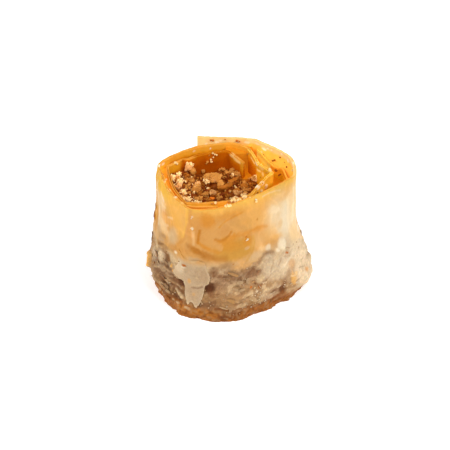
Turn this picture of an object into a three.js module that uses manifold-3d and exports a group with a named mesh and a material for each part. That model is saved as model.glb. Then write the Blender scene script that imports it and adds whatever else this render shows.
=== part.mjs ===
// A rolled piece of pecan baklava that stands on its cut end.
// A sheet of phyllo, several leaves thick, is rolled loosely round chopped pecans. From above its
// turns, creases and two ends show, with the nuts sunk a little below the rim. The lower half is
// wider and crusted, with a torn leaf on its front left.
// Millimetres and degrees, +Z up, the front is -Y. The origin is at the foot, in the middle of the piece.

import * as THREE from "three";
import { mergeVertices } from "three/addons/utils/BufferGeometryUtils.js";
import Module from "manifold-3d";

const wasm = await Module();
wasm.setup();

const { degToRad, radToDeg, lerp, smoothstep } = THREE.MathUtils;

// Driving dimensions of the sheet
const SHEET = 0.85; // thickness of the turns, each of several leaves
const LEAF = 0.6; // thickness of a loose leaf between the turns
const LEAF_BOTTOM = 26; // how far down the loose leaves reach
const FACET = 1.75; // length of one facet along the outer turn
const INNER_FACET = 2.6; // and along the inner turn
const GROOVE_FLOOR = 33.5; // height where the gaps between the turns close
const POCKET_FLOOR = 28; // and where the wide pocket on the right closes
const POCKET_FROM = 12; // the pocket begins at this x

// Driving dimensions of the foot
const FOOT_RADIUS = 23.8;
const FOOT_LEAN = 0.3; // how much further the foot reaches to the right than to the left
const FLAT_DEPTH = 4.4; // the foot is flatter at the front right
const FLAT_ANGLE = -50;
const FLAT_WIDTH = 33;
const FLARE_TOP = 27.5; // the wall starts to widen here
const FLARE_TILT = 2.5; // lower on the right, and higher on the left
const FLARE_BOTTOM = 4; // and it is widest here
const EDGE_ROUND = 1.2; // how far the bottom edge draws in
const EDGE_HEIGHT = 2.8;
const TUCK_FROM = 128; // the outer turn goes under its loose end between these directions
const TUCK_TO = 114;
const PRESSED = 13; // height up to which the loose end is pressed on

// Driving dimensions of the relief
const WAVE = 0.22; // soft waves down the upper wall
const CRAG = 0.5; // ragged crust round the foot
const CRAG_TOP = 17;
const CRAG_SIZE = 3.1;
const HOLLOW = { angle: -137, z: 8.5, wide: 14, tall: 5, deep: 0.7 }; // beside the torn leaf

// Driving dimensions of the crusts
const CRUST_ROOT = 0.4; // how deep a crust is rooted in the wall
const CRUST_CORNERS = 14;
const CRUST_RAGGED = 0.25;

// Driving dimensions of the filling
const FIT_GAP = 0.35; // clear space between the pastry and the nuts
const FILL_TOP = 30.8; // the nuts' bed in the middle
const FILL_RIPPLE = 0.5;
const MOUND = 3.6; // it rises against the left wall
const FRONT_MOUND = 2.2; // and a little towards the front
const CRUMBS = 125;
const CRUMB_SMALL = 0.5;
const CRUMB_LARGE = 1.5;
const STRAY_CRUMBS = 18; // crumbs stuck to the rim of the inner turn

// Creases of the sheet, clockwise from above, from its loose outer end to its inner end: the place,
// the height of the rim there, and how far the stretch up to the next crease bows outward.
const OUTER_CREASES = [
  { x: -9.7, y: 20.7, rim: 39.4, bow: 0.4 },
  { x: 7.6, y: 18.7, rim: 39.6, bow: 0.3 },
  { x: 18.0, y: 8.3, rim: 39.5, bow: 0.8 },
  { x: 19.4, y: -2.6, rim: 38.7, bow: 1.6 },
  { x: -3.5, y: -20.4, rim: 37.3, bow: 0.5 },
  { x: -11.5, y: -20.6, rim: 37.2, bow: 2.1 },
  { x: -21.3, y: 4.0, rim: 38.0, bow: 3.9 },
  { x: 1.0, y: 18.8, rim: 38.3, bow: 0.2 },
  { x: 5.9, y: 15.9, rim: 38.0, bow: 0.0 },
];
const INNER_CREASES = [
  { x: 5.9, y: 15.9, rim: 38.0, bow: 0.2 },
  { x: 9.2, y: 8.4, rim: 37.2, bow: 0.0 },
  { x: 13.0, y: 2.4, rim: 36.8, bow: -0.4 },
  { x: 6.5, y: -11.2, rim: 37.0, bow: 0.8 },
  { x: -4.0, y: -16.2, rim: 36.8, bow: 0.2 },
  { x: -12.2, y: -17.0, rim: 36.9, bow: 0.4 },
  { x: -17.4, y: -1.5, rim: 37.0, bow: 0.2 },
  { x: -18.4, y: 6.2, rim: 37.0, bow: 0.0 },
  { x: -14.0, y: 10.8, rim: 37.0, bow: 0.0 },
  { x: -12.2, y: 11.0, rim: 36.9, bow: 0.0 },
  { x: -10.3, y: 12.6, rim: 37.0, bow: 0.5 },
  { x: -0.2, y: 15.0, rim: 37.6, bow: 0.0 },
];
const INNER_END = { x: 4.2, y: 10.0, rim: 35.8, bow: 0.0 }; // the sheet's end hangs into the nuts

// Loose leaves that stand between the turns, at the right and at the front.
const RIGHT_LEAF = [
  { x: 6.6, y: 15.2, rim: 37.4, bow: 0.2 },
  { x: 13.2, y: 9.4, rim: 35.6, bow: 0.3 },
  { x: 16.9, y: 7.6, rim: 35.2, bow: 0.4 },
  { x: 18.9, y: -1.6, rim: 34.6, bow: 0.0 },
];
const FRONT_LEAF = [
  { x: -13.2, y: -17.9, rim: 36.9, bow: 0.2 },
  { x: -8.6, y: -18.6, rim: 36.7, bow: 0.2 },
  { x: 2.6, y: -16.9, rim: 37.1, bow: 0.0 },
];

// Crusts on the wall: the middle's direction and height, the width along the wall, the height, and how
// far the crust stands off at its upper and lower edge. Each has a ragged outline, but the torn leaf's
// corners are given in shares of half its width and half its height.
const TORN_LEAF = [
  [0.66, 0.54], [0.55, 0.85], [0.1, 0.8], [-0.38, 0.84], [-0.62, 1.0], [-0.75, 0.7], [-0.76, 0.42],
  [-1.0, 0.14], [-0.56, 0.03], [-0.26, -0.1], [-0.3, -0.38], [-0.2, -0.8], [0.16, -1.0],
  [0.44, -0.5], [0.52, -0.08], [0.69, 0.0],
];
const CRUSTS = [
  { angle: -116.4, z: 13.0, wide: 15.2, tall: 18.0, upper: 0.3, lower: 0.6, corners: TORN_LEAF },
  { angle: 176, z: 8.0, wide: 9.0, tall: 6.8, upper: 1.4, lower: 0.6 },
  { angle: 168, z: 20.0, wide: 7.0, tall: 6.0, upper: 0.3, lower: 0.5 },
  { angle: -2, z: 6.2, wide: 12.0, tall: 11.0, upper: 1.5, lower: 0.9 },
  { angle: 6, z: 17.0, wide: 8.0, tall: 7.0, upper: 0.5, lower: 0.3 },
  { angle: 82, z: 9.5, wide: 11.0, tall: 9.0, upper: 0.5, lower: 1.0 },
  { angle: 132, z: 12.5, wide: 8.0, tall: 8.0, upper: 0.4, lower: 0.9 },
  { angle: 40, z: 12.0, wide: 7.0, tall: 9.5, upper: 0.4, lower: 0.8 },
];

// Chips of nut on the bed: place, lift above the bed, size, and turns about X, Y and Z.
const CHIPS = [
  { x: -4.6, y: 6.4, lift: 1.5, size: [6.6, 5.4, 1.2], turn: [38, -8, -28] },
  { x: -0.2, y: 1.6, lift: 1.0, size: [6.4, 2.9, 1.2], turn: [-48, 0, 42] },
  { x: -0.8, y: 8.0, lift: 1.3, size: [4.4, 3.0, 1.1], turn: [30, 18, 30] },
  { x: -10.2, y: 1.4, lift: 1.0, size: [2.8, 2.6, 3.6], turn: [20, 12, 30] },
  { x: -11.0, y: 8.4, lift: 0.8, size: [3.0, 2.4, 3.4], turn: [10, 25, 10] },
  { x: 3.2, y: 7.0, lift: 0.9, size: [4.4, 2.8, 1.4], turn: [24, -16, -20] },
  { x: 8.6, y: 1.0, lift: 1.2, size: [3.8, 3.0, 1.2], turn: [34, 20, 58] },
];

// Heights of the facets up the wall and up the mass inside it, as shares of the way to the top. The
// first lies below the foot and is cut off with it.
const WALL_LEVELS = [-0.03, 0.04, 0.1, 0.17, 0.24, 0.32, 0.41, 0.51, 0.62, 0.74, 0.87, 1];
const MASS_LEVELS = [-0.03, 0.12, 0.27, 0.45, 0.7, 1];
const BELOW = -5; // well below the foot
const ABOVE = 45; // well above the rim

// Chance and noise

// A whole number turned into a value between 0 and 1, the same on every run.
function scatter(seed) {
  let h = Math.imul(seed ^ (seed >>> 16), 0x45d9f3b);
  h = Math.imul(h ^ (h >>> 15), 0x2c1b3c6d);
  return ((h ^ (h >>> 14)) >>> 0) / 4294967296;
}

// Smooth noise between -1 and 1 on a lattice that closes on itself after `around` cells in u.
function noise(u, v, around) {
  const [i, j] = [Math.floor(u), Math.floor(v)];
  const [fu, fv] = [u - i, v - j].map((f) => f * f * (3 - 2 * f));
  const corner = (a, b) => scatter(((a % around) + around) * 131 + (b + 80) * 7919);
  const low = lerp(corner(i, j), corner(i + 1, j), fu);
  const high = lerp(corner(i, j + 1), corner(i + 1, j + 1), fu);
  return 2 * lerp(low, high, fv) - 1;
}

// Solids

function solid(points, triangles) {
  const vertProperties = new Float32Array(points.flat());
  const triVerts = new Uint32Array(triangles);
  return new wasm.Manifold(new wasm.Mesh({ numProp: 3, vertProperties, triVerts }));
}

function solidOf(geometry) {
  const bare = geometry.clone();
  bare.deleteAttribute("normal");
  bare.deleteAttribute("uv");
  const merged = mergeVertices(bare);
  return solid(Array.from(merged.attributes.position.array), merged.index.array);
}

function joined(solids) {
  return solids.reduce((whole, part) => whole.add(part));
}

// A standing sheet: `face(i, j, side)` is its point at station i and level j, on side 1 or -1.
function standingSheet(stations, levels, face) {
  const [points, triangles] = [[], []];
  const at = (i, j, side) => (i * levels + j) * 2 + (side > 0 ? 1 : 0);
  const quad = (a, b, c, d) => triangles.push(a, b, c, a, c, d);
  const [last, top] = [stations - 1, levels - 1];
  for (let i = 0; i <= last; i++) {
    for (let j = 0; j <= top; j++) points.push(face(i, j, -1), face(i, j, 1));
  }
  for (let i = 0; i < last; i++) {
    for (let j = 0; j < top; j++) {
      quad(at(i + 1, j, 1), at(i, j, 1), at(i, j + 1, 1), at(i + 1, j + 1, 1));
      quad(at(i, j, -1), at(i + 1, j, -1), at(i + 1, j + 1, -1), at(i, j + 1, -1));
    }
    quad(at(i, top, -1), at(i + 1, top, -1), at(i + 1, top, 1), at(i, top, 1));
    quad(at(i, 0, 1), at(i + 1, 0, 1), at(i + 1, 0, -1), at(i, 0, -1));
  }
  for (let j = 0; j < top; j++) {
    quad(at(0, j, 1), at(0, j, -1), at(0, j + 1, -1), at(0, j + 1, 1));
    quad(at(last, j, -1), at(last, j, 1), at(last, j + 1, 1), at(last, j + 1, -1));
  }
  return solid(points, triangles);
}

// A body through rings of equally many corners, clockwise from above, closed by a fan at each end.
function loft(rings) {
  const [points, triangles] = [rings.flat(), []];
  const count = rings[0].length;
  const next = (i) => (i + 1) % count;
  for (let j = 0; j < rings.length - 1; j++) {
    for (let i = 0; i < count; i++) {
      const [a, b] = [j * count + i, j * count + next(i)];
      triangles.push(a, a + count, b, b, a + count, b + count);
    }
  }
  const fan = (ring, first, up) => {
    const mean = (axis) => ring.reduce((sum, point) => sum + point[axis], 0) / count;
    const middle = points.push([mean(0), mean(1), mean(2)]) - 1;
    for (let i = 0; i < count; i++) {
      const [a, b] = [first + i, first + next(i)];
      triangles.push(middle, ...(up ? [b, a] : [a, b]));
    }
  };
  fan(rings[0], 0, false);
  fan(rings.at(-1), (rings.length - 1) * count, true);
  return solid(points, triangles);
}

// An upright prism on a plan outline.
function prism(outline, bottom, top) {
  return loft([bottom, top].map((z) => outline.map(([x, y]) => [x, y, z])));
}

// A solid cut flat at the foot, without the loose scraps that a cut leaves.
function standing(shape) {
  const wide = 2 * FOOT_RADIUS;
  const ground = prism([[-wide, -wide], [-wide, wide], [wide, wide], [wide, -wide]], 2 * BELOW, 0);
  const bodies = shape.subtract(ground).decompose();
  return bodies.reduce((best, body) => (body.volume() > best.volume() ? body : best));
}

// The path of the sheet

// Stations along a creased sheet, each with its plan position, rim height, direction and outward side.
function stationsAlong(creases, facet) {
  const places = [];
  creases.slice(0, -1).forEach((from, k) => {
    const to = creases[k + 1];
    const length = Math.hypot(to.x - from.x, to.y - from.y);
    const out = { x: (from.y - to.y) / length, y: (to.x - from.x) / length };
    const count = Math.max(1, Math.round((length + Math.abs(from.bow)) / facet));
    for (let i = 0; i < count; i++) {
      const t = i / count;
      const bow = from.bow * 4 * t * (1 - t);
      const x = lerp(from.x, to.x, t) + out.x * bow;
      const y = lerp(from.y, to.y, t) + out.y * bow;
      places.push({ x, y, rim: lerp(from.rim, to.rim, t) });
    }
  });
  places.push(creases.at(-1));
  return places.map(({ x, y, rim }, i) => {
    const [a, b] = [places[Math.max(i - 1, 0)], places[Math.min(i + 1, places.length - 1)]];
    const length = Math.hypot(b.x - a.x, b.y - a.y);
    return { x, y, rim, angle: Math.atan2(y, x), outX: (a.y - b.y) / length, outY: (b.x - a.x) / length };
  });
}

// The last stretch of the outer turn lies under the loose end, so its foot is drawn in by half a sheet.
function tucked(stations) {
  const behind = (s, i) => i > stations.length / 2 && s.angle > 0;
  const share = (s) => 1 - smoothstep(s.angle, degToRad(TUCK_TO), degToRad(TUCK_FROM));
  return stations.map((s, i) => ({ ...s, tuck: behind(s, i) ? (SHEET / 2) * share(s) : 0 }));
}

const outer = tucked(stationsAlong(OUTER_CREASES, FACET));
const inner = stationsAlong([...INNER_CREASES, INNER_END], INNER_FACET);
const nutsSide = stationsAlong(INNER_CREASES, INNER_FACET);

// The outer wall

function footRadius(angle) {
  const off = (radToDeg(angle) - FLAT_ANGLE) / FLAT_WIDTH;
  return FOOT_RADIUS + FOOT_LEAN * Math.cos(angle) - FLAT_DEPTH * Math.exp(-(off ** 2));
}

// How far the wall stands out from its rim's outline at a height.
function flare(station, z) {
  const top = FLARE_TOP - FLARE_TILT * Math.cos(station.angle);
  const foot = footRadius(station.angle) - station.tuck;
  const widened = (foot - Math.hypot(station.x, station.y)) * (1 - smoothstep(z, FLARE_BOTTOM, top));
  return widened - EDGE_ROUND * (1 - smoothstep(z, 0, EDGE_HEIGHT));
}

// Relief of the outer face: soft waves above, crags round the foot, and the hollow beside the leaf.
function relief(angle, z) {
  const cells = Math.round((2 * Math.PI * FOOT_RADIUS) / CRAG_SIZE);
  const along = (angle / (2 * Math.PI) + 0.5) * cells;
  const ragged = 1 - smoothstep(z, 0.4 * CRAG_TOP, CRAG_TOP);
  const crag = CRAG * noise(along, z / (0.8 * CRAG_SIZE), cells) * ragged;
  const smooth = 1 - smoothstep(z, 32, 37);
  const across = Math.sin(7 * angle + 0.12 * z) * Math.sin(0.21 * z + 1.5 * Math.sin(3 * angle));
  const off = (radToDeg(angle) - HOLLOW.angle) / HOLLOW.wide;
  const hollow = HOLLOW.deep * Math.exp(-(off ** 2) - ((z - HOLLOW.z) / HOLLOW.tall) ** 2);
  return crag + WAVE * across * smooth - hollow;
}

// A point of the outer wall at a station and height, pushed out from the middle of the sheet.
function wallPoint(station, z, push) {
  const out = flare(station, z);
  const x = station.x + Math.cos(station.angle) * out + station.outX * push;
  const y = station.y + Math.sin(station.angle) * out + station.outY * push;
  return [x, y, z];
}

// The outer turn and the loose end, which lies on the roll at the foot and stands off above it.
function outerTurn() {
  return standingSheet(outer.length, WALL_LEVELS.length, (i, j, side) => {
    const z = WALL_LEVELS[j] * outer[i].rim;
    const bumps = side > 0 ? relief(outer[i].angle, z) : 0;
    return wallPoint(outer[i], z, (side * SHEET) / 2 + bumps);
  });
}

// The inner turns

// An upright sheet of even thickness between a height and its rim.
function uprightSheet(stations, thickness, bottom) {
  return standingSheet(stations.length, 2, (i, j, side) => {
    const { x, y, outX, outY, rim } = stations[i];
    const push = (side * thickness) / 2;
    return [x + outX * push, y + outY * push, j ? rim : bottom];
  });
}

function looseLeaf(creases) {
  return uprightSheet(stationsAlong(creases, INNER_FACET), LEAF, LEAF_BOTTOM);
}

// The pressed turns below the gaps, as one mass that reaches into the outer turn. Near the foot it
// takes in the loose end too.
function pressedTurns() {
  const mass = (stations, height) =>
    loft(MASS_LEVELS.map((share) => stations.map((s) => wallPoint(s, share * height(s), 0))));
  const above = outer.slice(outer.findIndex((s) => s.x > -1), -4);
  const below = outer.slice(0, outer.findIndex((s) => s.tuck > 0) + 1);
  const floor = (s) => (s.x > POCKET_FROM ? POCKET_FLOOR : GROOVE_FLOOR);
  return mass(above, floor).add(mass(below, () => PRESSED));
}

// The plan outline of the space round the nuts, drawn in from the middle of the inner turn.
function nutsOutline(inset) {
  return nutsSide.map((s) => [s.x - s.outX * inset, s.y - s.outY * inset]);
}

// The crusts on the wall

// The stations of the outer turn that can be seen from outside, in order round the roll.
const skin = outer
  .filter((s, i) => i < outer.length / 2 || s.angle < 0 || s.angle > outer[0].angle)
  .sort((a, b) => a.angle - b.angle);

// The outer wall in one direction, between the two stations on either side of it.
function wallAt(direction) {
  const angle = Math.atan2(Math.sin(direction), Math.cos(direction));
  const next = skin.findIndex((s) => s.angle > angle);
  const [a, b] = next < 1 ? [skin.at(-1), skin[0]] : [skin[next - 1], skin[next]];
  const between = (from, to) => (to - from + 2 * Math.PI) % (2 * Math.PI);
  const share = between(a.angle, angle) / between(a.angle, b.angle);
  const station = { angle };
  ["x", "y", "outX", "outY", "tuck"].forEach((key) => (station[key] = lerp(a[key], b[key], share)));
  return station;
}

function raggedOutline(seed) {
  return Array.from({ length: CRUST_CORNERS }, (_, i) => {
    const turn = (2 * Math.PI * i) / CRUST_CORNERS;
    const reach = 1 - CRUST_RAGGED * scatter(seed * 97 + i);
    return [reach * Math.cos(turn), reach * Math.sin(turn)];
  });
}

// A raised crust: two faces bent with the wall, each a fan with one ring between, and the edge.
function crust({ angle, z, wide, tall, upper, lower, corners = raggedOutline(angle + 400) }) {
  const edge = corners.map(([s, h]) => [(s * wide) / 2, (h * tall) / 2]);
  const spots = [[0, 0], ...edge.map(([s, h]) => [s / 2, h / 2]), ...edge];
  const place = ([s, h], outside) => {
    const stand = outside ? lerp(lower, upper, h / tall + 0.5) : -CRUST_ROOT;
    const height = Math.max(EDGE_HEIGHT / 2, z + h);
    return wallPoint(wallAt(degToRad(angle) + s / FOOT_RADIUS), height, SHEET / 2 + stand);
  };
  const points = [true, false].flatMap((outside) => spots.map((spot) => place(spot, outside)));
  const [count, back, triangles] = [edge.length, spots.length, []];
  for (let i = 0; i < count; i++) {
    const [a, b] = [1 + i, 1 + ((i + 1) % count)];
    const [c, d] = [a + count, b + count];
    [[0, a, b], [a, c, d], [a, d, b]].forEach(([p, q, r]) => {
      triangles.push(p, q, r, back + p, back + r, back + q);
    });
    triangles.push(c, back + c, back + d, c, back + d, d);
  }
  return solid(points, triangles);
}

// The crumbs and chips

// A crumb with 20 faces, uneven in each direction.
function crumb(x, y, z, radius, seed) {
  const geometry = new THREE.IcosahedronGeometry(radius, 0);
  const stretch = [0, 1, 2].map((axis) => lerp(0.75, 1.25, scatter(seed * 31 + axis)));
  geometry.scale(...stretch);
  geometry.rotateX(2 * Math.PI * scatter(seed * 17));
  geometry.rotateZ(2 * Math.PI * scatter(seed * 23));
  geometry.translate(x, y, z);
  return solidOf(geometry);
}

// A chip of nut: a bent slab whose corners are drawn in.
function chip({ x, y, lift, size, turn }) {
  const [long, broad] = size;
  const geometry = new THREE.BoxGeometry(...size, 2, 2, 1);
  const position = geometry.attributes.position;
  for (let i = 0; i < position.count; i++) {
    const [px, py, pz] = [position.getX(i), position.getY(i), position.getZ(i)];
    const corner = Math.abs(px) > long / 3 && Math.abs(py) > broad / 3;
    const draw = corner ? 0.72 : 1 + 0.1 * Math.sin(3 * px + 2 * py);
    position.setXYZ(i, px * draw, py * draw, pz + 0.03 * px * px);
  }
  const angles = new THREE.Euler(...turn.map(degToRad), "ZYX");
  geometry.applyQuaternion(new THREE.Quaternion().setFromEuler(angles));
  geometry.translate(x, y, fillHeight(x, y) + lift);
  return solidOf(geometry);
}

// Crumbs stuck along the rim of the inner turn.
function strayCrumbs() {
  return Array.from({ length: STRAY_CRUMBS }, (_, i) => {
    const spot = nutsSide[1 + Math.floor(scatter(i * 5 + 2) * (nutsSide.length - 2))];
    const radius = lerp(CRUMB_SMALL, CRUMB_LARGE, scatter(i * 7 + 3) / 2);
    const side = (SHEET / 2) * (scatter(i * 11 + 4) - 0.5);
    const z = spot.rim - radius / 5;
    return crumb(spot.x + spot.outX * side, spot.y + spot.outY * side, z, radius, i + 300);
  });
}

// The filling

// The height of the nuts' bed: heaped against the left wall, and rising a little towards the front.
function fillHeight(x, y) {
  const left = MOUND * (1 - smoothstep(x, -17, -7));
  const front = FRONT_MOUND * (1 - smoothstep(y, -16, -4));
  return FILL_TOP + Math.max(left, front) + FILL_RIPPLE * Math.sin(0.9 * x + 1.1) * Math.sin(0.8 * y);
}

function fillBed() {
  const outline = nutsOutline(SHEET / 2 + FIT_GAP);
  const sides = [BELOW, 16, 28].map((z) => outline.map(([x, y]) => [x, y, z]));
  const middle = -2;
  const top = [1, 0.8, 0.6, 0.4, 0.2].map((share) =>
    outline.map(([x, y]) => [lerp(middle, x, share), y * share, fillHeight(x * share, y * share)]),
  );
  return loft([...sides, ...top]);
}

// Crumbs all over the bed, spread evenly by a sunflower rule.
function fillCrumbs() {
  const turn = Math.PI * (3 - Math.sqrt(5));
  return Array.from({ length: CRUMBS }, (_, i) => {
    const reach = Math.sqrt((i + 0.5) / CRUMBS);
    const x = -3.2 + 17.5 * reach * Math.cos(i * turn);
    const y = -0.6 + 15.5 * reach * Math.sin(i * turn);
    const radius = lerp(CRUMB_SMALL, CRUMB_LARGE, scatter(i * 3 + 1) ** 2);
    return crumb(x, y, fillHeight(x, y) + 0.1 * radius, radius, i + 1);
  });
}

// The two pieces

function pastryRoll() {
  const pressed = pressedTurns().subtract(prism(nutsOutline(0), BELOW, ABOVE));
  const turns = [pressed, outerTurn(), uprightSheet(inner, SHEET, BELOW / 2)];
  const leaves = [RIGHT_LEAF, FRONT_LEAF].map(looseLeaf);
  return standing(joined([...turns, ...leaves, ...CRUSTS.map(crust), ...strayCrumbs()]));
}

// The nuts fill the inner turn and stay clear of it and of the sheet's end.
function nutFilling() {
  const space = prism(nutsOutline(SHEET / 2 + FIT_GAP), BELOW, ABOVE);
  const end = uprightSheet(inner, SHEET + 2 * FIT_GAP, BELOW);
  const heap = joined([fillBed(), ...fillCrumbs(), ...CHIPS.map(chip)]);
  return standing(heap.intersect(space).subtract(end));
}

function meshOf(name, shape, finish) {
  const { vertProperties, triVerts } = shape.getMesh();
  const geometry = new THREE.BufferGeometry();
  geometry.setAttribute("position", new THREE.BufferAttribute(new Float32Array(vertProperties), 3));
  geometry.setIndex(new THREE.BufferAttribute(new Uint32Array(triVerts), 1));
  const faceted = geometry.toNonIndexed();
  faceted.computeVertexNormals();
  const mesh = new THREE.Mesh(faceted, new THREE.MeshStandardMaterial(finish));
  mesh.name = name;
  return mesh;
}

const PHYLLO = { color: 0xe0a24e, roughness: 0.45, metalness: 0 };
const NUTS = { color: 0xb98a56, roughness: 0.75, metalness: 0 };

const baklava = new THREE.Group();
baklava.add(meshOf("pastry_roll", pastryRoll(), PHYLLO));
baklava.add(meshOf("nut_filling", nutFilling(), NUTS));

// The creases are measured from the roll's axis, and the piece stands with its middle on the origin.
const middle = new THREE.Box3().setFromObject(baklava).getCenter(new THREE.Vector3());
baklava.children.forEach((mesh) => mesh.position.set(-middle.x, -middle.y, 0));

export default baklava;
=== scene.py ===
"""A rolled piece of pecan baklava that stands on its cut end, dressed round its packed solids.

The turns of phyllo follow the same creases as the solids. Lengths in the tables are millimetres from
the roll's axis, directions are degrees counter-clockwise from +X, and the front is -Y.
"""

import math

import bpy
import numpy as np
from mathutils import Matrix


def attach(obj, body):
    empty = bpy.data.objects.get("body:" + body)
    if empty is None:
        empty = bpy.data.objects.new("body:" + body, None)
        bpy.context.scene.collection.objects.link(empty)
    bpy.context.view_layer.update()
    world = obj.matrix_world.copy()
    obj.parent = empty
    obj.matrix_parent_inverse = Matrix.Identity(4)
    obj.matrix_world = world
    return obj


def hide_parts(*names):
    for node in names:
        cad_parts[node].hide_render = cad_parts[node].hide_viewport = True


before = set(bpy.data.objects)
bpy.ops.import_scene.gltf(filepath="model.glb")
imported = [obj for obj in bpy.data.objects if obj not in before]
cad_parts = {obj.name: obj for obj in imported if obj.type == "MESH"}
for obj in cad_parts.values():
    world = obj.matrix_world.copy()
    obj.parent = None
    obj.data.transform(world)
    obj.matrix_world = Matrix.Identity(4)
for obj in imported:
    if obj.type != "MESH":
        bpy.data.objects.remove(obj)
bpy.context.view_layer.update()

bl_info = {
    "name": "Rolled pecan baklava",
    "version": (1, 0, 0),
    "blender": (4, 5, 0),
    "location": "3D View > Sidebar > Baklava",
    "description": "Models a rolled piece of pecan baklava and its stage",
    "category": "Add Mesh",
}

AXIS = np.array([-0.2366, -0.7407, 0.0])  # where the roll's axis stands in the frame
PASTRY, NUTS = "pastry_roll", "nut_filling"

# The outer wall, as in the solids
FOOT_RADIUS, FOOT_LEAN = 23.8, 0.3
FLAT_DEPTH, FLAT_ANGLE, FLAT_WIDTH = 4.4, -50.0, 33.0
FLARE_TOP, FLARE_TILT, FLARE_BOTTOM = 27.5, 2.5, 4.0
EDGE_ROUND, EDGE_HEIGHT = 1.2, 2.8
TUCK_FROM, TUCK_TO = 128.0, 114.0
CRAG_TOP, CRAG_SIZE = 17.0, 3.1
HOLLOW = {"angle": -137.0, "z": 8.5, "wide": 14.0, "tall": 5.0, "deep": 0.7}
GROOVE_FLOOR, POCKET_FLOOR, POCKET_FROM, FRONT_FLOOR, WEDGE_FLOOR = 33.5, 30.5, 12.0, 35.8, 37.2
FILL_TOP, MOUND, FRONT_MOUND, FIT_GAP = 30.8, 3.6, 2.2, 0.35
MM_PER_DEGREE = 0.385  # along the wall, for the marks on it
LEAN = ([165, 174, 199, 214, 231, 240], [0, 1.05, 0.85, 0.65, 0.5, 0])  # how far the rim leans in, by direction
NUT_GLOW = 0.25  # painted glow of the nuts: emission that stands in for light shining through them and lifts their crevices
CRUST_DEPTH = 1.3  # how much further in the wall's skin reaches under its crust
# How strongly the lamps light the wall by direction, and the gloss that they add on its upper part
WALL_LIGHT = [
    (-180, 1.3, 0.12), (-168, 1.36, 0.09), (-160, 1.38, 0.07), (-150, 1.44, 0.055), (-130, 1.51, 0.035), (-120, 1.6, 0.012), (-110, 1.71, 0.01),
    (-90, 1.7, 0.01), (-50, 1.66, 0.01), (-20, 1.64, 0.02), (-12, 1.6, 0.03), (0, 1.45, 0.05), (20, 1.3, 0.04), (180, 1.3, 0.12),
]

# Creases of the sheet: x, y, height of the rim, and how far the stretch to the next crease bows out
OUTER_CREASES = [
    (-9.7, 20.7, 39.4, 0.4), (7.6, 18.7, 39.6, 0.3), (18.0, 8.3, 39.5, 0.8),
    (19.4, -2.6, 38.7, 1.6), (-3.5, -20.4, 37.3, 0.5), (-11.5, -20.6, 37.2, 2.1),
    (-21.7, 4.1, 38.0, 3.9), (1.0, 18.8, 38.3, 0.2), (5.9, 15.9, 38.0, 0.0),
]
INNER_CREASES = [
    (5.9, 15.9, 38.0, 0.2), (8.8, 7.7, 37.1, 0.0), (13.0, 2.6, 36.8, -0.4),
    (6.5, -11.2, 37.0, 0.8), (-4.0, -15.6, 36.8, 0.2), (-12.5, -16.0, 36.9, 0.8),
    (-17.4, -1.5, 37.0, 0.2), (-18.4, 6.2, 37.0, 0.0), (-14.0, 10.8, 37.0, 0.0),
    (-12.2, 11.0, 36.9, 0.0), (-10.3, 12.6, 37.0, 0.5), (-0.2, 15.0, 37.6, 0.0),
]
INNER_END = [(4.5, 10.2, 36.0, 0.0)]
RIGHT_LEAF = [(8.6, 16.6, 37.2, 0.0), (12.4, 12.8, 34.4, 0.0), (14.2, 11.0, 33.7, 0.0), (16.3, 8.9, 34.9, 0.0), (17.4, 5.6, 33.4, 0.2), (18.6, -1.6, 33.2, 0.0)]
FRONT_LEAF = [(-13.3, -16.9, 36.8, 0.1), (-11.6, -17.9, 36.7, 0.1), (-8.4, -18.0, 36.6, 0.1), (-4.6, -17.4, 36.2, 0.0), (-3.4, -16.4, 36.0, 0.0)]

# Crusts: direction, height, width, height of the crust, how far its upper and lower edges stand off, colour
CRUSTS = [
    (82, 9.5, 11.0, 9.0, 0.5, 1.0, "tan"), (132, 12.5, 8.0, 8.0, 0.4, 0.9, "straw"), (40, 12.0, 7.0, 9.5, 0.4, 0.8, "beige"),
]

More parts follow.
